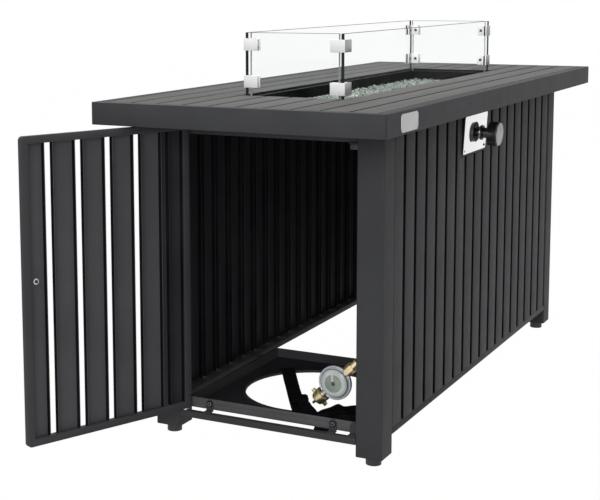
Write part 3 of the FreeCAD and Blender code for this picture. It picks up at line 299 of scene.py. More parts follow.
# Painted shade for the bed seen between the pebbles
BED_PAINTED_SHADE = plastic("bed_painted_shade", (0.012, 0.016, 0.014), (0.03, 0.04, 0.034), 0.5)
SCREW_GREY = plastic("screw_grey", (0.09, 0.09, 0.09), (0.14, 0.14, 0.14), 0.35)
SCREW_BLACK = plastic("screw_black", (0.02, 0.02, 0.02), (0.05, 0.05, 0.05), 0.35)


# Building pieces

SAME_PLACE = 1e-6
FLAT = math.radians(0.5)
CRISP = math.radians(28)
AXIS = 0.00001  # radius at which a turned profile starts and ends


def add_object(name, mesh):
    piece = bpy.data.objects.new(name, mesh)
    bpy.context.scene.collection.objects.link(piece)
    return piece


def shade(mesh, angle):
    """Smooth faces, with the edges sharper than angle kept crisp."""
    mesh.shade_smooth()
    mesh.set_sharp_from_angle(angle=math.radians(angle))


def adopt(piece, *nodes, body=None, slot=None):
    """Gives a piece the body, slot and finish of the CAD node it stands for or sits on."""
    owner = nodes[0] if nodes else None
    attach(piece, body or BODY_OF[owner])
    slot = slot or SLOT_OF[owner]
    if not piece.data.materials:
        piece.data.materials.append(MATERIALS[slot])
    if nodes:
        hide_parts(*nodes)
    return piece


def finish_mesh(name, work, sharp):
    """A mesh from the work, smooth but for edges sharper than sharp degrees."""
    mesh = bpy.data.meshes.new(name)
    work.normal_update()
    work.to_mesh(mesh)
    work.free()
    shade(mesh, sharp)
    return mesh


def eased_copy(node, width, segments=2):
    """The CAD solid with every crisp edge eased, as folded and painted metal is."""
    work = bmesh.new()
    work.from_mesh(frame["nodes"][node].data)
    bmesh.ops.remove_doubles(work, verts=work.verts, dist=SAME_PLACE)
    bmesh.ops.dissolve_limit(work, angle_limit=FLAT, verts=work.verts, edges=work.edges)
    crisp = [e for e in work.edges if len(e.link_faces) == 2 and e.calc_face_angle(0) > CRISP]
    bmesh.ops.bevel(work, geom=crisp, offset=width, segments=segments, profile=0.5,
                    affect="EDGES", clamp_overlap=True)
    name = node + "_eased"
    return adopt(add_object(name, finish_mesh(name, work, 30)), node)


def bridge(work, rings):
    """Faces between each ring of points and the next."""
    for lower, upper in zip(rings, rings[1:]):
        for k in range(len(lower)):
            j = (k + 1) % len(lower)
            work.faces.new((lower[k], lower[j], upper[j], upper[k]))


def turned(name, profile, place, segments=96):
    """A surface of revolution about place's Z axis through (height, radius) points."""
    work = bmesh.new()
    angles = [2 * math.pi * i / segments for i in range(segments)]
    rings = [[work.verts.new((radius * math.cos(a), radius * math.sin(a), height)) for a in angles]
             for height, radius in profile]
    bridge(work, rings)
    bmesh.ops.recalc_face_normals(work, faces=work.faces)
    piece = add_object(name, finish_mesh(name, work, 35))
    piece.matrix_world = place
    return piece


def rounded(points, radius, steps=4):
    """A (height, radius) profile with every corner between its ends rounded."""
    path = [Vector(p) for p in points]
    result = [path[0]]
    for before, corner, after in zip(path, path[1:], path[2:]):
        shorter = min((before - corner).length, (after - corner).length)
        reach = min(radius, shorter * 0.49)
        start = corner + (before - corner).normalized() * reach
        end = corner + (after - corner).normalized() * reach
        for i in range(steps + 1):
            t = i / steps
            result.append(start.lerp(corner, t).lerp(corner.lerp(end, t), t))
    result.append(path[-1])
    return [tuple(p) for p in result]


def place_along(origin, axis, across=None):
    """A placement whose Z runs along axis, and whose X lies towards across."""
    z = Vector(axis).normalized()
    x = Vector(across) if across else (Vector((1, 0, 0)) if abs(z.x) < 0.9 else Vector((0, 1, 0)))
    x = (x - z * x.dot(z)).normalized()
    axes = Matrix((x, z.cross(x), z)).transposed().to_4x4()
    return Matrix.Translation(Vector(origin)) @ axes


def join(pieces, name):
    """Several finished pieces as one object."""
    work = bmesh.new()
    finishes = []
    for piece in pieces:
        mesh = piece.data.copy()
        mesh.transform(piece.matrix_world)
        known = len(work.faces)
        work.from_mesh(mesh)
        work.faces.ensure_lookup_table()
        for face in work.faces[known:]:
            face.material_index += len(finishes)
        finishes += list(mesh.materials)
        bpy.data.objects.remove(piece)
    mesh = bpy.data.meshes.new(name)
    work.to_mesh(mesh)
    work.free()
    for finish in finishes:
        mesh.materials.append(finish)
    shade(mesh, 35)
    return add_object(name, mesh)


def eased_box(name, size, width, segments=2):
    """A block about its own centre with every edge eased."""
    work = bmesh.new()
    bmesh.ops.create_cube(work, size=1)
    bmesh.ops.scale(work, vec=size, verts=work.verts)
    bmesh.ops.bevel(work, geom=list(work.edges), offset=width, segments=segments, profile=0.5,
                    affect="EDGES", clamp_overlap=True)
    return add_object(name, finish_mesh(name, work, 30))


def slotted_screw(name, radius, height, place):
    """A low domed head with a slot across it. Z points out of the head."""
    head = turned(name + "_head", rounded([
        (0, AXIS), (0, radius), (height * 0.6, radius), (height, radius * 0.7), (height, AXIS)],
        height * 0.3, 2), place, 32)
    slot = eased_box(name + "_slot", (radius * 1.7, radius * 0.22, height * 0.2), radius * 0.02, 1)
    slot.matrix_world = place @ Matrix.Translation((0, 0, height)) @ Matrix.Rotation(0.6, 4, "Z")
    # The slot is dark with painted shade
    slot.data.materials.append(PAINTED_DEEP_SHADE)
    head.data.materials.append(SCREW_BLACK)
    return join([head, slot], name)


# Gas hose: a smooth tube that keeps within about a millimetre of its solid's arcs

HOSE_DIAMETER = 11 * MM
HOSE_SIDES = 32
STEPS_PER_BEND = 24
HOSE_ROUTE = [Vector(p) * MM for p in (
    (-500, -157.91, 169.91), (-500, -193.9, 205.9), (-499, -203, 304), (-492, -204, 455),
    (-410, -203, 552), (-245, -204, 557), (-75.5, -204.08, 542.58))]


def hose_line():
    """Points along the quadratic B-spline that the route's points control."""
    middles = [(a + b) / 2 for a, b in zip(HOSE_ROUTE[1:], HOSE_ROUTE[2:-1])]
    ends = [HOSE_ROUTE[0]] + middles + [HOSE_ROUTE[-1]]
    line = []
    for start, middle, end in zip(ends, HOSE_ROUTE[1:], ends[1:]):
        for i in range(STEPS_PER_BEND):
            t = i / STEPS_PER_BEND
            line.append(start * (1 - t) ** 2 + middle * 2 * t * (1 - t) + end * t ** 2)
    return line + [HOSE_ROUTE[-1]]


def make_hose():
    line = hose_line()
    work = bmesh.new()
    rings = []
    side = Vector((1, 0, 0))
    angles = [2 * math.pi * k / HOSE_SIDES for k in range(HOSE_SIDES)]
    for i, place in enumerate(line):
        ahead = (line[min(i + 1, len(line) - 1)] - line[max(i - 1, 0)]).normalized()
        side = (side - ahead * side.dot(ahead)).normalized()
        other = ahead.cross(side)
        ways = [side * math.cos(a) + other * math.sin(a) for a in angles]
        rings.append([work.verts.new(place + way * HOSE_DIAMETER / 2) for way in ways])
    bridge(work, rings)
    work.faces.new(rings[0])
    work.faces.new(list(reversed(rings[-1])))
    bmesh.ops.recalc_face_normals(work, faces=work.faces)
    hose = adopt(add_object("hose_tube", finish_mesh("hose_tube", work, 50)), "gas_hose")


make_hose()


# Painted metal and boards, with eased edges, and painted light and painted shade on chosen faces

def second_finish(piece, material, chosen):
    """Gives the faces for which chosen is true another material."""
    piece.data.materials.append(material)
    for face in piece.data.polygons:
        if chosen(face):
            face.material_index = len(piece.data.materials) - 1


def outward_of(piece):
    """The way that most of a panel's surface faces."""
    totals = {}
    for face in piece.data.polygons:
        key = tuple(round(c, 2) for c in face.normal)
        totals[key] = totals.get(key, 0) + face.area
    return Vector(max(totals, key=totals.get))


FRAME_EDGE, FITTING_EDGE, BOARD_EDGE, SLAT_EDGE = 0.8 * MM, 0.6 * MM, 2.0 * MM, 0.5 * MM
SILL_INNER_X, SILL_TOP_Z = -0.5435, 0.0505
TRAY_LIP_X, TRAY_FLOOR_X = -0.53, -0.5395
HINGE_AXIS = Vector((-0.554, 0.167))
HINGE_SHADE_REACH = 0.052

for node in ("top_rail_control_side", "top_rail_far_side", "top_rail_door_end",
             "top_rail_tail_end", "leg_door_control", "leg_door_far", "leg_tail_control",
             "leg_tail_far", "bottom_rail_control_side", "bottom_rail_far_side",
             "bottom_rail_tail_end", "bottom_rail_door_end", "door_stop_rail", "upper_rails",
             "deck_bearers", "tray_bearer", "tank_tray", "burner_pan", "door_frame",
             "catch_bracket", "catch_magnet"):
    eased_copy(node, FRAME_EDGE)
for node in ("badge_plate", "feet", "hose_clips", "door_pull", "regulator_nut",
             "regulator_outlet", "regulator_nipple", "gas_valve", "supply_tube", "linear_burner"):
    eased_copy(node, FITTING_EDGE)
clamps = eased_copy("guard_clamps", FITTING_EDGE)
# Painted white reflection on the clamps, with painted shade on their faces towards plus and minus Y
clamps.data.materials[0] = CLAMP_PAINTED_REFLECTION
second_finish(clamps, CLAMP_PAINTED_SHADE, lambda face: abs(face.normal.y) > 0.7)
# Painted shade on the door-end rail's walls inside the sill and above its top
second_finish(bpy.data.objects["bottom_rail_door_end_eased"], PAINTED_DEEP_SHADE,
              lambda face: (abs(face.normal.x) < 0.5 and face.center.x > SILL_INNER_X
                            and face.center.z > SILL_TOP_Z))
# The bearers under the board gaps carry painted shade all over
bpy.data.objects["deck_bearers_eased"].data.materials[0] = PAINTED_DEEP_SHADE
tray = bpy.data.objects["tank_tray_eased"]
# Painted light on the lip's faces towards -X
second_finish(tray, LIP_PAINTED_LIGHT, lambda face: face.normal.x < -0.5 and face.center.x < TRAY_LIP_X)
# Painted shade on the tray's floor
second_finish(tray, INNER_PAINTED_SHADE,
              lambda face: face.normal.z > 0.5 and face.center.x > TRAY_FLOOR_X)
for node in ("deck_boards_control_side", "deck_boards_far_side", "deck_boards_door_end",
             "deck_boards_tail_end"):
    boards = eased_copy(node, BOARD_EDGE, 3)
    # The boards' side faces carry painted shade, so the gaps between them read dark
    second_finish(boards, JOINT_PAINTED_SHADE, lambda face: face.normal.z < 0.75)
for node, outward in (("control_side_slats", (0, -1, 0)), ("far_side_slats", (0, 1, 0)),
                      ("tail_end_slats", (1, 0, 0)), ("door_slats", None)):
    slats = eased_copy(node, SLAT_EDGE)
    outward = Vector(outward) if outward else outward_of(slats)
    # Painted shade on the slats' channel walls
    second_finish(slats, PAINTED_DEEP_SHADE, lambda face: abs(face.normal.dot(outward)) < 0.3)
    if node != "door_slats":
        # Painted shade on the slats' inner faces
        second_finish(slats, INNER_PAINTED_SHADE, lambda face: face.normal.dot(outward) < -0.3)
    else:
        # Painted light on the door slats' faces towards -Y
        second_finish(slats, DOOR_PAINTED_LIGHT, lambda face: face.normal.y < -0.6)
        # Painted shade on the door slat next to the hinge
        second_finish(slats, INNER_PAINTED_SHADE, lambda face: face.normal.y < -0.6
                      and (face.center.xy - HINGE_AXIS).length < HINGE_SHADE_REACH)


# Gas control: mirror plate with a black collar, its bezel with painted shade on the walls in front
# of the slats, and the knob

TILT = math.radians(3.4)
CONTROL_CENTRE = Vector((-77, -234.2, 543.8)) * MM
KNOB_PLACE = (Matrix.Translation(CONTROL_CENTRE) @ Matrix.Rotation(TILT, 4, "X")
              @ Matrix.Translation(Vector((36, 0, -3)) * MM))
KNOB_TURNED = KNOB_PLACE @ Matrix.Rotation(math.pi / 2, 4, "X")
COLLAR_BACK = -0.5 * MM
BEZEL_FRONT = -228.5 * MM
PLATE_SCREW_REACH = 64


def make_control():
    """The plate, its bezel and screws, and the knob with a short ridge on its face."""
    plate = eased_copy("control_plate", 0.4 * MM)
    into_plate = KNOB_PLACE.inverted() @ plate.matrix_world
    second_finish(plate, MATERIALS["knob_plastic"],
                  lambda face: (into_plate @ face.center).y < COLLAR_BACK)
    bezel = eased_copy("control_bezel", 0.8 * MM)
    # Painted shade on the bezel's faces in front of its front plane
    second_finish(bezel, PAINTED_DEEP_SHADE, lambda face: face.center.y < BEZEL_FRONT)
    barrel = rounded([
        (0.001, 0.0001), (0.001, 0.0105), (0.017, 0.0105), (0.017, 0.0235), (0.0185, 0.0245),
        (0.036, 0.0245), (0.0378, 0.0236), (0.0378, 0.0001)], 1.2 * MM)
    low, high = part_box("control_knob")
    widest = (high.x - low.x) / 2
    barrel = [(height, min(radius, widest)) for height, radius in barrel]
    adopt(turned("knob_barrel", barrel, KNOB_TURNED), "control_knob")
    face = rounded([
        (0.0379, 0.0001), (0.0379, 0.0228), (0.0386, 0.0228), (0.0394, 0.0215), (0.0394, 0.0195),
        (0.0389, 0.0185), (0.0394, 0.0150), (0.0398, 0.0080), (0.0399, 0.0001)], 0.3 * MM)
    disc = turned("knob_disc", face, KNOB_TURNED)
    ridge = eased_box("knob_ridge", (0.0022, 0.013, 0.0016), 0.5 * MM)
    ridge.matrix_world = KNOB_TURNED @ Matrix.Translation((0, 0.0125, 0.0398))
    adopt(join([disc, ridge], "knob_front"), "knob_face")
    for across in (-PLATE_SCREW_REACH, PLATE_SCREW_REACH):
        seat = (Matrix.Translation(CONTROL_CENTRE) @ Matrix.Rotation(TILT, 4, "X")
                @ Matrix.Translation(Vector((across, 0, -31)) * MM)
                @ Matrix.Rotation(math.pi / 2, 4, "X"))
        name = f"plate_screw_{across + PLATE_SCREW_REACH}"
        screw = slotted_screw(name, 2.2 * MM, 0.5 * MM, seat)
        adopt(screw, body="table", slot="polished_steel")


make_control()


# Small fasteners

def islands(node):
    """The box of each separate solid in a CAD node, as (centre, size)."""
    work = bmesh.new()
    work.from_mesh(frame["nodes"][node].data)
    bmesh.ops.remove_doubles(work, verts=work.verts, dist=SAME_PLACE)
    boxes = []
    seen = set()
    for first in work.verts:
        if first in seen:
            continue
        group, queue = [], [first]
        seen.add(first)
        while queue:
            vert = queue.pop()
            group.append(vert.co.copy())
            for edge in vert.link_edges:
                other = edge.other_vert(vert)
                if other not in seen:
                    seen.add(other)
                    queue.append(other)
        low = Vector(min(p[i] for p in group) for i in range(3))
        high = Vector(max(p[i] for p in group) for i in range(3))
        boxes.append(((low + high) / 2, high - low))
    work.free()
    return boxes


def make_clamp_screws():
    """Slotted heads that point in towards the middle of the guard."""
    heads = []
    for number, (centre, size) in enumerate(islands("guard_clamp_screws")):
        axis = min(range(3), key=lambda i: size[i])
        way = Vector((0, 0, 0))
        way[axis] = -1 if centre[axis] > 0 else 1
        foot = centre - way * size[axis] / 2
        place = place_along(foot, way)
        heads.append(slotted_screw(f"clamp_head_{number}", 3.4 * MM, 1.4 * MM, place))
    adopt(join(heads, "clamp_screw_heads"), "guard_clamp_screws")


SOCKET_RADIUS = 0.0021


def make_tray_screws():
    """Socket-head screws through the tray's tabs, each on a thin disc of painted shadow round its
    head.
    """
    heads = []
    for number, (centre, size) in enumerate(islands("tray_screws")):
        under_head = Vector((centre.x - size.x / 2 + 2 * MM, centre.y, centre.z))
        foot = place_along(under_head, (-1, 0, 0))
        disc = [(0, AXIS), (0, 0.0061), (0.0005, 0.0060), (0.0005, AXIS)]
        # A thin disc in painted shade stands for the shadow round each head
        washer = turned(f"tray_head_shadow_{number}", disc, foot, 48)
        washer.data.materials.append(PAINTED_DEEP_SHADE)
        outline = rounded([(0.0005, AXIS), (0.0005, 0.0043), (0.0014, 0.0042), (0.0019, 0.0034),
                           (0.0019, 0.0022), (0.0007, 0.0020), (0.0007, AXIS)], 0.25 * MM, 3)
        head = turned(f"tray_head_{number}", outline, foot, 48)
        head.data.materials.append(SCREW_GREY)
        # Painted shade in the socket
        second_finish(head, PAINTED_DEEP_SHADE, lambda face: face.center.xy.length < SOCKET_RADIUS)
        heads += [washer, head]
    adopt(join(heads, "tray_screw_heads"), "tray_screws")


def make_pull_screw():
    """A bright washer and a dark screw head in its middle, on the door's free stile."""
    low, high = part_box("door_pull_screw")
    centre = (low + high) / 2
    normal = outward_of(frame["nodes"]["door_pull_screw"])
    foot = centre - normal * 1.6 * MM
    outline = rounded([(0, AXIS), (0, 0.0054), (0.0009, 0.0054), (0.0013, 0.0046),
                       (0.0011, 0.0032), (0.0011, AXIS)], 0.2 * MM, 2)
    washer = turned("pull_washer", outline, place_along(foot, normal), 64)
    washer.data.materials.append(MATERIALS["plated_screws"])
    screw = slotted_screw("pull_head", 3.0 * MM, 1.8 * MM,
                          place_along(foot + normal * 1.1 * MM, normal))
    adopt(join([washer, screw], "pull_screw"), "door_pull_screw")


make_clamp_screws()
make_tray_screws()
make_pull_screw()


# Regulator: X of its frame runs along the gas way towards the hose, Z out of its round face

GAS_WAY = Vector((0, -math.sqrt(0.5), math.sqrt(0.5)))
REGULATOR_CENTRE = Vector((-500, -114, 126)) * MM
REGULATOR_PLACE = place_along(REGULATOR_CENTRE, (-1, 0, 0), GAS_WAY)
RIM_INSIDE, RIM_OUTSIDE = 0.0162, 0.0262
TAB_TURN, TAB_LEAN = math.radians(49), math.radians(9)


def make_regulator():
    """Two cast shells round the gas way, under a domed cover with a hub and a tab."""
    body = turned("regulator_shells", rounded([
        (-0.0129, AXIS), (-0.0129, 0.015), (-0.0095, 0.020), (-0.0042, 0.0238), (-0.0034, 0.0312),
        (-0.0024, 0.0319), (0.0012, 0.0319), (0.0030, 0.0308), (0.0030, 0.0288), (0.0018, 0.0276),
        (0.0030, 0.0262), (0.0060, 0.0250), (0.0086, 0.0215), (0.0089, 0.020), (0.0089, AXIS)],
        0.7 * MM), REGULATOR_PLACE)
    boss = turned("regulator_boss", rounded([
        (-0.0309, AXIS), (-0.0309, 0.0064), (-0.0285, 0.0069), (-0.0285, 0.0060), (0.0285, 0.0060),
        (0.0285, 0.0069), (0.0309, 0.0064), (0.0309, AXIS)], 0.3 * MM, 2),
        place_along(REGULATOR_CENTRE, GAS_WAY))
    adopt(join([body, boss], "regulator_case"), "regulator_body")
    lens = turned("regulator_lens", rounded([
        (0.0032, AXIS), (0.0032, 0.0268), (0.0046, 0.0272), (0.0078, 0.0256), (0.0098, 0.0225),
        (0.0106, 0.0190), (0.0108, 0.0168), (0.0101, 0.0160), (0.0101, 0.0120), (0.0108, 0.0070),
        (0.0108, 0.0050), (0.0101, 0.0042), (0.0101, AXIS)], 0.4 * MM), REGULATOR_PLACE)
    lens.data.materials.append(MATERIALS["cover_plastic"])
    into_lens = REGULATOR_PLACE.inverted() @ lens.matrix_world
    second_finish(lens, LENS_RIM,
                  lambda face: RIM_INSIDE < (into_lens @ face.center).xy.length < RIM_OUTSIDE)
    hub = turned("regulator_hub", rounded([
        (0.0100, AXIS), (0.0100, 0.0034), (0.0114, 0.0030), (0.0119, 0.0016), (0.0119, AXIS)],
        0.3 * MM, 2), REGULATOR_PLACE, 32)
    hub.data.materials.append(SCREW_BLACK)
    tab = eased_box("regulator_tab", (0.0200, 0.0048, 0.0016), 0.6 * MM)
    tab.matrix_world = (REGULATOR_PLACE @ Matrix.Rotation(TAB_TURN, 4, "Z")
                        @ Matrix.Translation((0.0150, 0, 0.0108))
                        @ Matrix.Rotation(TAB_LEAN, 4, "Y"))
    tab.data.materials.append(LENS_RIM)
    adopt(join([lens, hub, tab], "regulator_face"), "regulator_cover")


make_regulator()


# Webbing: woven straps across the tray, the free tail, and the cam buckle that holds them

WEB_THICKNESS = 1.5 * MM
STEPS_PER_POINT = 10
STEPS_ACROSS = 10
RIPPLES = 160
STRAP_START, STRAP_END = Vector((-242, 105)), Vector((-512, -51))
BUCKLE_PLACE = (Matrix.Translation(Vector((-449.8, -15, 57.6)) * MM)
                @ Matrix.Rotation(math.radians(30), 4, "Z"))


def smooth_line(points):
    """A line through all of the points, each (x, y, z, tip in degrees)."""
    ends = [2 * points[0] - points[1]] + points + [2 * points[-1] - points[-2]]
    line = []
    for a, b, c, d in zip(ends, ends[1:], ends[2:], ends[3:]):
        for i in range(STEPS_PER_POINT):
            t = i / STEPS_PER_POINT
            line.append(0.5 * (2 * b + (c - a) * t + (2 * a - 5 * b + 4 * c - d) * t ** 2
                               + (3 * b - a - 3 * c + d) * t ** 3))
    return line + [points[-1]]


def strap_mesh(name, points, width, ripple):
    """A thin closed band with rounded edges that tips and ripples along a line, and its length."""
    line = smooth_line([Vector((x * MM, y * MM, z * MM, tip)) for x, y, z, tip in points])
    half, thick = width / 2, WEB_THICKNESS / 2
    work = bmesh.new()
    rings = []
    length = 0
    for i, place in enumerate(line):
        ahead = (line[min(i + 1, len(line) - 1)] - line[max(i - 1, 0)]).to_3d().normalized()
        across = Vector((0, 0, 1)).cross(ahead).normalized()
        up = ahead.cross(across)
        tip = Matrix.Rotation(math.radians(place.w), 3, ahead)
        across, up = tip @ across, tip @ up
        if i:
            length += (line[i] - line[i - 1]).to_3d().length
        wave = ripple * math.sin(length * RIPPLES)
        ring = []
        for side in (1, -1):
            for k in range(STEPS_ACROSS + 1):
                share = (2 * k / STEPS_ACROSS - 1) * side
                edge = min(1, (1 - abs(share)) * 12) ** 0.5
                height = side * thick * edge + wave * share ** 2
                ring.append(work.verts.new(place.to_3d() + across * share * half + up * height))
        rings.append(ring)
    bridge(work, rings)
    work.faces.new(rings[0])
    work.faces.new(list(reversed(rings[-1])))
    bmesh.ops.remove_doubles(work, verts=work.verts, dist=SAME_PLACE)
    bmesh.ops.recalc_face_normals(work, faces=work.faces)
    return add_object(name, finish_mesh(name, work, 50)), length


def along_strap(share, height, tip=0):
    """A point of the long strap: its share of the way from the far end, height in mm."""
    x, y = STRAP_START.lerp(STRAP_END, share)
    return (x, y, height, tip)


def make_straps():
    """Two straps that lie on the tray, and three loose lengths of the same webbing."""
    long_strap, length = strap_mesh("hold_down_strap", [
        along_strap(0, 55.7), along_strap(0.03, 55.7), along_strap(0.075, 59.2),
        along_strap(0.12, 59.3), along_strap(0.26, 57.2, 3), along_strap(0.42, 56.7, -2),
        along_strap(0.6, 56.7, 2), along_strap(0.8, 56.8), along_strap(0.895, 59.3),
        along_strap(0.94, 59.2), along_strap(0.98, 55.8), along_strap(1, 55.7)],
        28 * MM, 0.3 * MM)
    adopt(long_strap, "tank_strap")
    side_strap, length = strap_mesh("side_webbing", [
        (-506, -76, 61, 0), (-506.6, -85, 55.8, 0), (-507.6, -100, 56.2, 4),
        (-508.6, -118, 67, -6), (-509.5, -130, 66.5, 8), (-510.4, -146, 73, -4),
        (-511.2, -156, 69, 0), (-511.8, -167, 56, 0), (-512, -170, 55.7, 0)], 22 * MM, 0.5 * MM)
    adopt(side_strap, "side_strap")
    loose = [
        ("strap_tail", 24, 0.5, "laid", ["tank_tray", "strap_buckle"], [
            (-450, -22, 66, -14), (-461, -33, 67, -8), (-474, -45, 63.5, 0), (-487, -57, 61.5, 4),
            (-500, -69, 60, 6), (-511, -84, 60.5, 0), (-516, -101, 61.5, -6)]),
        ("strap_pile", 28, 0.6, "folded", ["tank_tray"], [
            (-507, -84, 61, 0), (-494, -94, 65, 8), (-480, -104, 67, 12), (-470, -113, 70, 12),
            (-463, -120, 66, 8), (-454, -132, 67, 8), (-448, -146, 66, 6), (-448, -160, 63, 0)]),
        ("strap_end", 11, 0.3, "hung", ["tank_tray"], [
            (-537, -89, 48.5, 78), (-536, -95, 46.8, 76), (-535.5, -108, 46.2, 74),
            (-536, -119, 46.6, 76)])]
    for name, width, ripple, held, rests_on, points in loose:
        piece, length = strap_mesh(name, points, width * MM, ripple * MM)
        adopt(piece, body="table", slot="webbing")


def make_buckle():
    """A cam buckle: a base with two cheeks, a lever between them and the bar that it turns on."""
    parts = [("base", (27, 32, 2.4), (0, -4, 1.3), 0),
             ("cheek_near", (26, 3, 13), (0, -19, 7.2), 0),
             ("cheek_far", (26, 3, 13), (0, 11, 7.2), 0),
             ("lever", (24, 28, 7), (1, -4, 10.2), -7),
             ("lever_lip", (6, 28, 6), (-10, -4, 8.4), 20)]
    pieces = []
    for name, size, offset, lean in parts:
        block = eased_box("buckle_" + name, [c * MM for c in size], 1.0 * MM, 3)
        block.matrix_world = (BUCKLE_PLACE @ Matrix.Translation(Vector(offset) * MM)
                              @ Matrix.Rotation(math.radians(lean), 4, "Y"))
        pieces.append(block)
    outline = rounded([(-0.0172, AXIS), (-0.0172, 0.0022), (0.0172, 0.0022), (0.0172, AXIS)],
                      0.5 * MM)
    seat = (BUCKLE_PLACE @ Matrix.Translation(Vector((6, -4, 8.5)) * MM)
            @ Matrix.Rotation(math.pi / 2, 4, "X"))
    pin = turned("buckle_pin", outline, seat, 32)
    adopt(join(pieces + [pin], "cam_buckle"), "strap_buckle")


FLANGE_SIZE = (0.374, 0.006, 0.0014)
FLANGE_CENTRE = (-0.353, 0.1657, 0.0723)
LEG_SCREW_HEIGHTS = (0.105, 0.335, 0.570)


def make_tray_flange():
    """The tray's far wall ends in a narrow flange turned outwards."""
    flange = eased_box("tray_flange", FLANGE_SIZE, 0.5 * MM)
    flange.matrix_world = Matrix.Translation(FLANGE_CENTRE)
    adopt(flange, body="table", slot="powder_coat")


def make_leg_screws():
    """Three small domed screws down the inner edge of the leg beside the hinge."""
    heads = []
    dome = [(0, AXIS), (0, 0.0024), (0.0006, 0.0022), (0.0011, 0.0014), (0.0013, AXIS)]
    for number, height in enumerate(LEG_SCREW_HEIGHTS):
        place = place_along(Vector((-0.559, 0.1815, height)), (-1, 0, 0))
        head = turned(f"leg_screw_{number}", dome, place, 24)
        head.data.materials.append(SCREW_GREY)
        heads.append(head)
    adopt(join(heads, "leg_screws"), body="table", slot="plated_screws")


make_straps()
make_buckle()
make_tray_flange()
make_leg_screws()


# Glass panes: clear faces, and edges toned by the axis they face, painted shade along X and Z and
# painted light along Y

PANE_EDGES = (EDGE_PAINTED_SHADE, EDGE_PAINTED_LIGHT, TOP_EDGE_PAINTED_SHADE)


def make_pane(node):
    """A pane whose edge faces take the painted shade or painted light of their own axis, X, Y or Z.
    """
    pane = eased_copy(node, 0.7 * MM, 1)
    pane.data.materials.clear()
    pane.data.materials.append(MATERIALS["clear_glass"])
    for edge in PANE_EDGES:
        pane.data.materials.append(edge)
    low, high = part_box(node)
    thin = min(range(3), key=lambda axis: high[axis] - low[axis])
    others = [axis for axis in range(3) if axis != thin]
    for face in pane.data.polygons:
        if abs(face.normal[thin]) < 0.9:
            face.material_index = 1 + max(others, key=lambda axis: abs(face.normal[axis]))
    pane.visible_shadow = False


for node in ("glass_pane_control_side", "glass_pane_far_side", "glass_pane_door_end",
             "glass_pane_tail_end"):
    make_pane(node)


# Fire glass: loose pebbles that hide the bed under them

PEBBLE_SIZE = 12.5 * MM
PEBBLE_STEP = PEBBLE_SIZE * 0.58
BED_DROP = 0.004


def make_pebbles():
    """Dented balls, one to a cell of a loose grid, over a bed that lies lower, dark as painted
    shade between the pebbles.
    """
    rng = random.Random(7)
    low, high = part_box("fire_glass")
    ball = bmesh.new()
    bmesh.ops.create_icosphere(ball, subdivisions=1, radius=0.5)
    ball_points = [v.co.copy() for v in ball.verts]
    ball_faces = [[v.index for v in f.verts] for f in ball.faces]
    ball.free()
    points, faces = [], []
    across = int((high.y - low.y) / PEBBLE_STEP)
    along = int((high.x - low.x) / PEBBLE_STEP)
    for i in range(along):
        for j in range(across):
            x = low.x + (high.x - low.x) * (i + 0.5 + rng.uniform(-0.3, 0.3)) / along
            y = low.y + (high.y - low.y) * (j + 0.5 + rng.uniform(-0.3, 0.3)) / across
            reach = PEBBLE_SIZE * rng.uniform(0.75, 1.25)
            x = min(max(x, low.x + reach / 2), high.x - reach / 2)
            y = min(max(y, low.y + reach / 2), high.y - reach / 2)
            z = high.z - reach * rng.uniform(0.12, 0.45)
            scale = Matrix.Diagonal((reach, reach * rng.uniform(0.6, 1),
                                     reach * rng.uniform(0.5, 0.9)))
            spin = (Matrix.Rotation(rng.uniform(0, 6.28), 3, "Z")
                    @ Matrix.Rotation(rng.uniform(-0.7, 0.7), 3, "X"))
            first = len(points)
            centre = Vector((x, y, z))
            points += [centre + spin @ (scale @ (p * rng.uniform(0.88, 1.06)))
                       for p in ball_points]
            faces += [[first + k for k in face] for face in ball_faces]
    mesh = bpy.data.meshes.new("glass_pebbles")
    mesh.from_pydata(points, [], faces)
    mesh.shade_smooth()
    pebbles = add_object("glass_pebbles", mesh)
    pebbles.data.materials.append(MATERIALS["pebble_glass"])
    bed_size = high - low - Vector((0, 0, BED_DROP))
    bed = eased_box("glass_bed", bed_size, 1 * MM)
    bed.matrix_world = Matrix.Translation((low + high) / 2 - Vector((0, 0, BED_DROP / 2)))
    # The bed is painted shade, seen in the gaps between pebbles
    bed.data.materials.append(BED_PAINTED_SHADE)
    adopt(join([pebbles, bed], "glass_and_bed"), "fire_glass")


make_pebbles()


def dress_node(node):
    """A CAD solid that keeps its own mesh and takes its slot's finish."""
    data = frame["nodes"][node].data
    data.materials.clear()
    data.materials.append(MATERIALS[SLOT_OF[node]])


for node in SLOT_OF:
    dress_node(node)


# Floor, backdrop and light

FLOOR_WHITE_SHARE = 0.995
SKY_DIM, SKY_SEEN = 0.32, 1.0
LAMPS = (("overhead", Vector((-0.6, 0.0, 3.2)), 3.0, 70),
         ("front", Vector((-4.3, -1.2, 1.5)), 2.2, 66))
LAMPS_AIM = Vector((0, 0, 0.35))


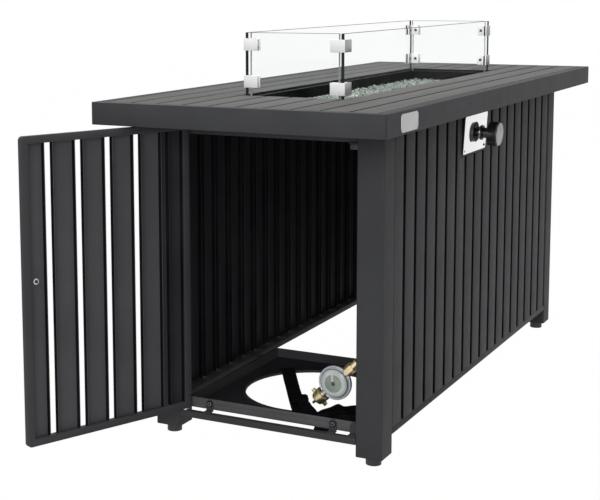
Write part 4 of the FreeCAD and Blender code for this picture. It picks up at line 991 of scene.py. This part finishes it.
def seen_directly(nodes, links):
    """1 for a ray from the camera or off metal, gloss or glass, and 0 for the rest."""
    path = nodes.new("ShaderNodeLightPath")
    seen = path.outputs["Is Camera Ray"]
    for kind in ("Is Glossy Ray", "Is Transmission Ray"):
        either = nodes.new("ShaderNodeMath")
        either.operation = "MAXIMUM"
        links.new(seen, either.inputs[0])
        links.new(path.outputs[kind], either.inputs[1])
        seen = either.outputs["Value"]
    return seen


def white_where_seen(material, amount):
    """Adds light of its own to a white surface, only where it is seen directly."""
    nodes, links = material.node_tree.nodes, material.node_tree.links
    shader = nodes["Principled BSDF"]
    output = nodes["Material Output"]
    glow = nodes.new("ShaderNodeEmission")
    glow.inputs["Strength"].default_value = 1
    share = nodes.new("ShaderNodeMath")
    share.operation = "MULTIPLY"
    share.inputs[1].default_value = amount
    links.new(seen_directly(nodes, links), share.inputs[0])
    mix = nodes.new("ShaderNodeMixShader")
    links.new(share.outputs["Value"], mix.inputs["Fac"])
    links.new(shader.outputs["BSDF"], mix.inputs[1])
    links.new(glow.outputs["Emission"], mix.inputs[2])
    links.new(mix.outputs["Shader"], output.inputs["Surface"])


def make_studio():
    """A white floor under a dim sky that looks white, one lamp overhead and one in front."""
    work = bmesh.new()
    bmesh.ops.create_grid(work, x_segments=1, y_segments=1, size=12)
    floor = add_object("floor", finish_mesh("floor", work, 40))
    material, _ = new_material("floor_white", (0.7, 0.7, 0.7), 0.9)
    white_where_seen(material, FLOOR_WHITE_SHARE)
    floor.data.materials.append(material)
    world = bpy.data.worlds.new("studio")
    bpy.context.scene.world = world
    world.use_nodes = True
    nodes, links = world.node_tree.nodes, world.node_tree.links
    surround = nodes["Background"]
    surround.inputs["Color"].default_value = (1, 1, 1, 1)
    strength = nodes.new("ShaderNodeMapRange")
    strength.inputs["To Min"].default_value = SKY_DIM
    strength.inputs["To Max"].default_value = SKY_SEEN
    links.new(seen_directly(nodes, links), strength.inputs["Value"])
    links.new(strength.outputs["Result"], surround.inputs["Strength"])
    for name, place, size, power in LAMPS:
        light = bpy.data.lights.new(name, "AREA")
        light.size = size
        light.energy = power
        lamp = bpy.data.objects.new(name, light)
        bpy.context.scene.collection.objects.link(lamp)
        facing = (LAMPS_AIM - place).to_track_quat("-Z", "Y").to_matrix().to_4x4()
        lamp.matrix_world = Matrix.Translation(place) @ facing


make_studio()
bpy.context.scene.view_settings.view_transform = "Standard"
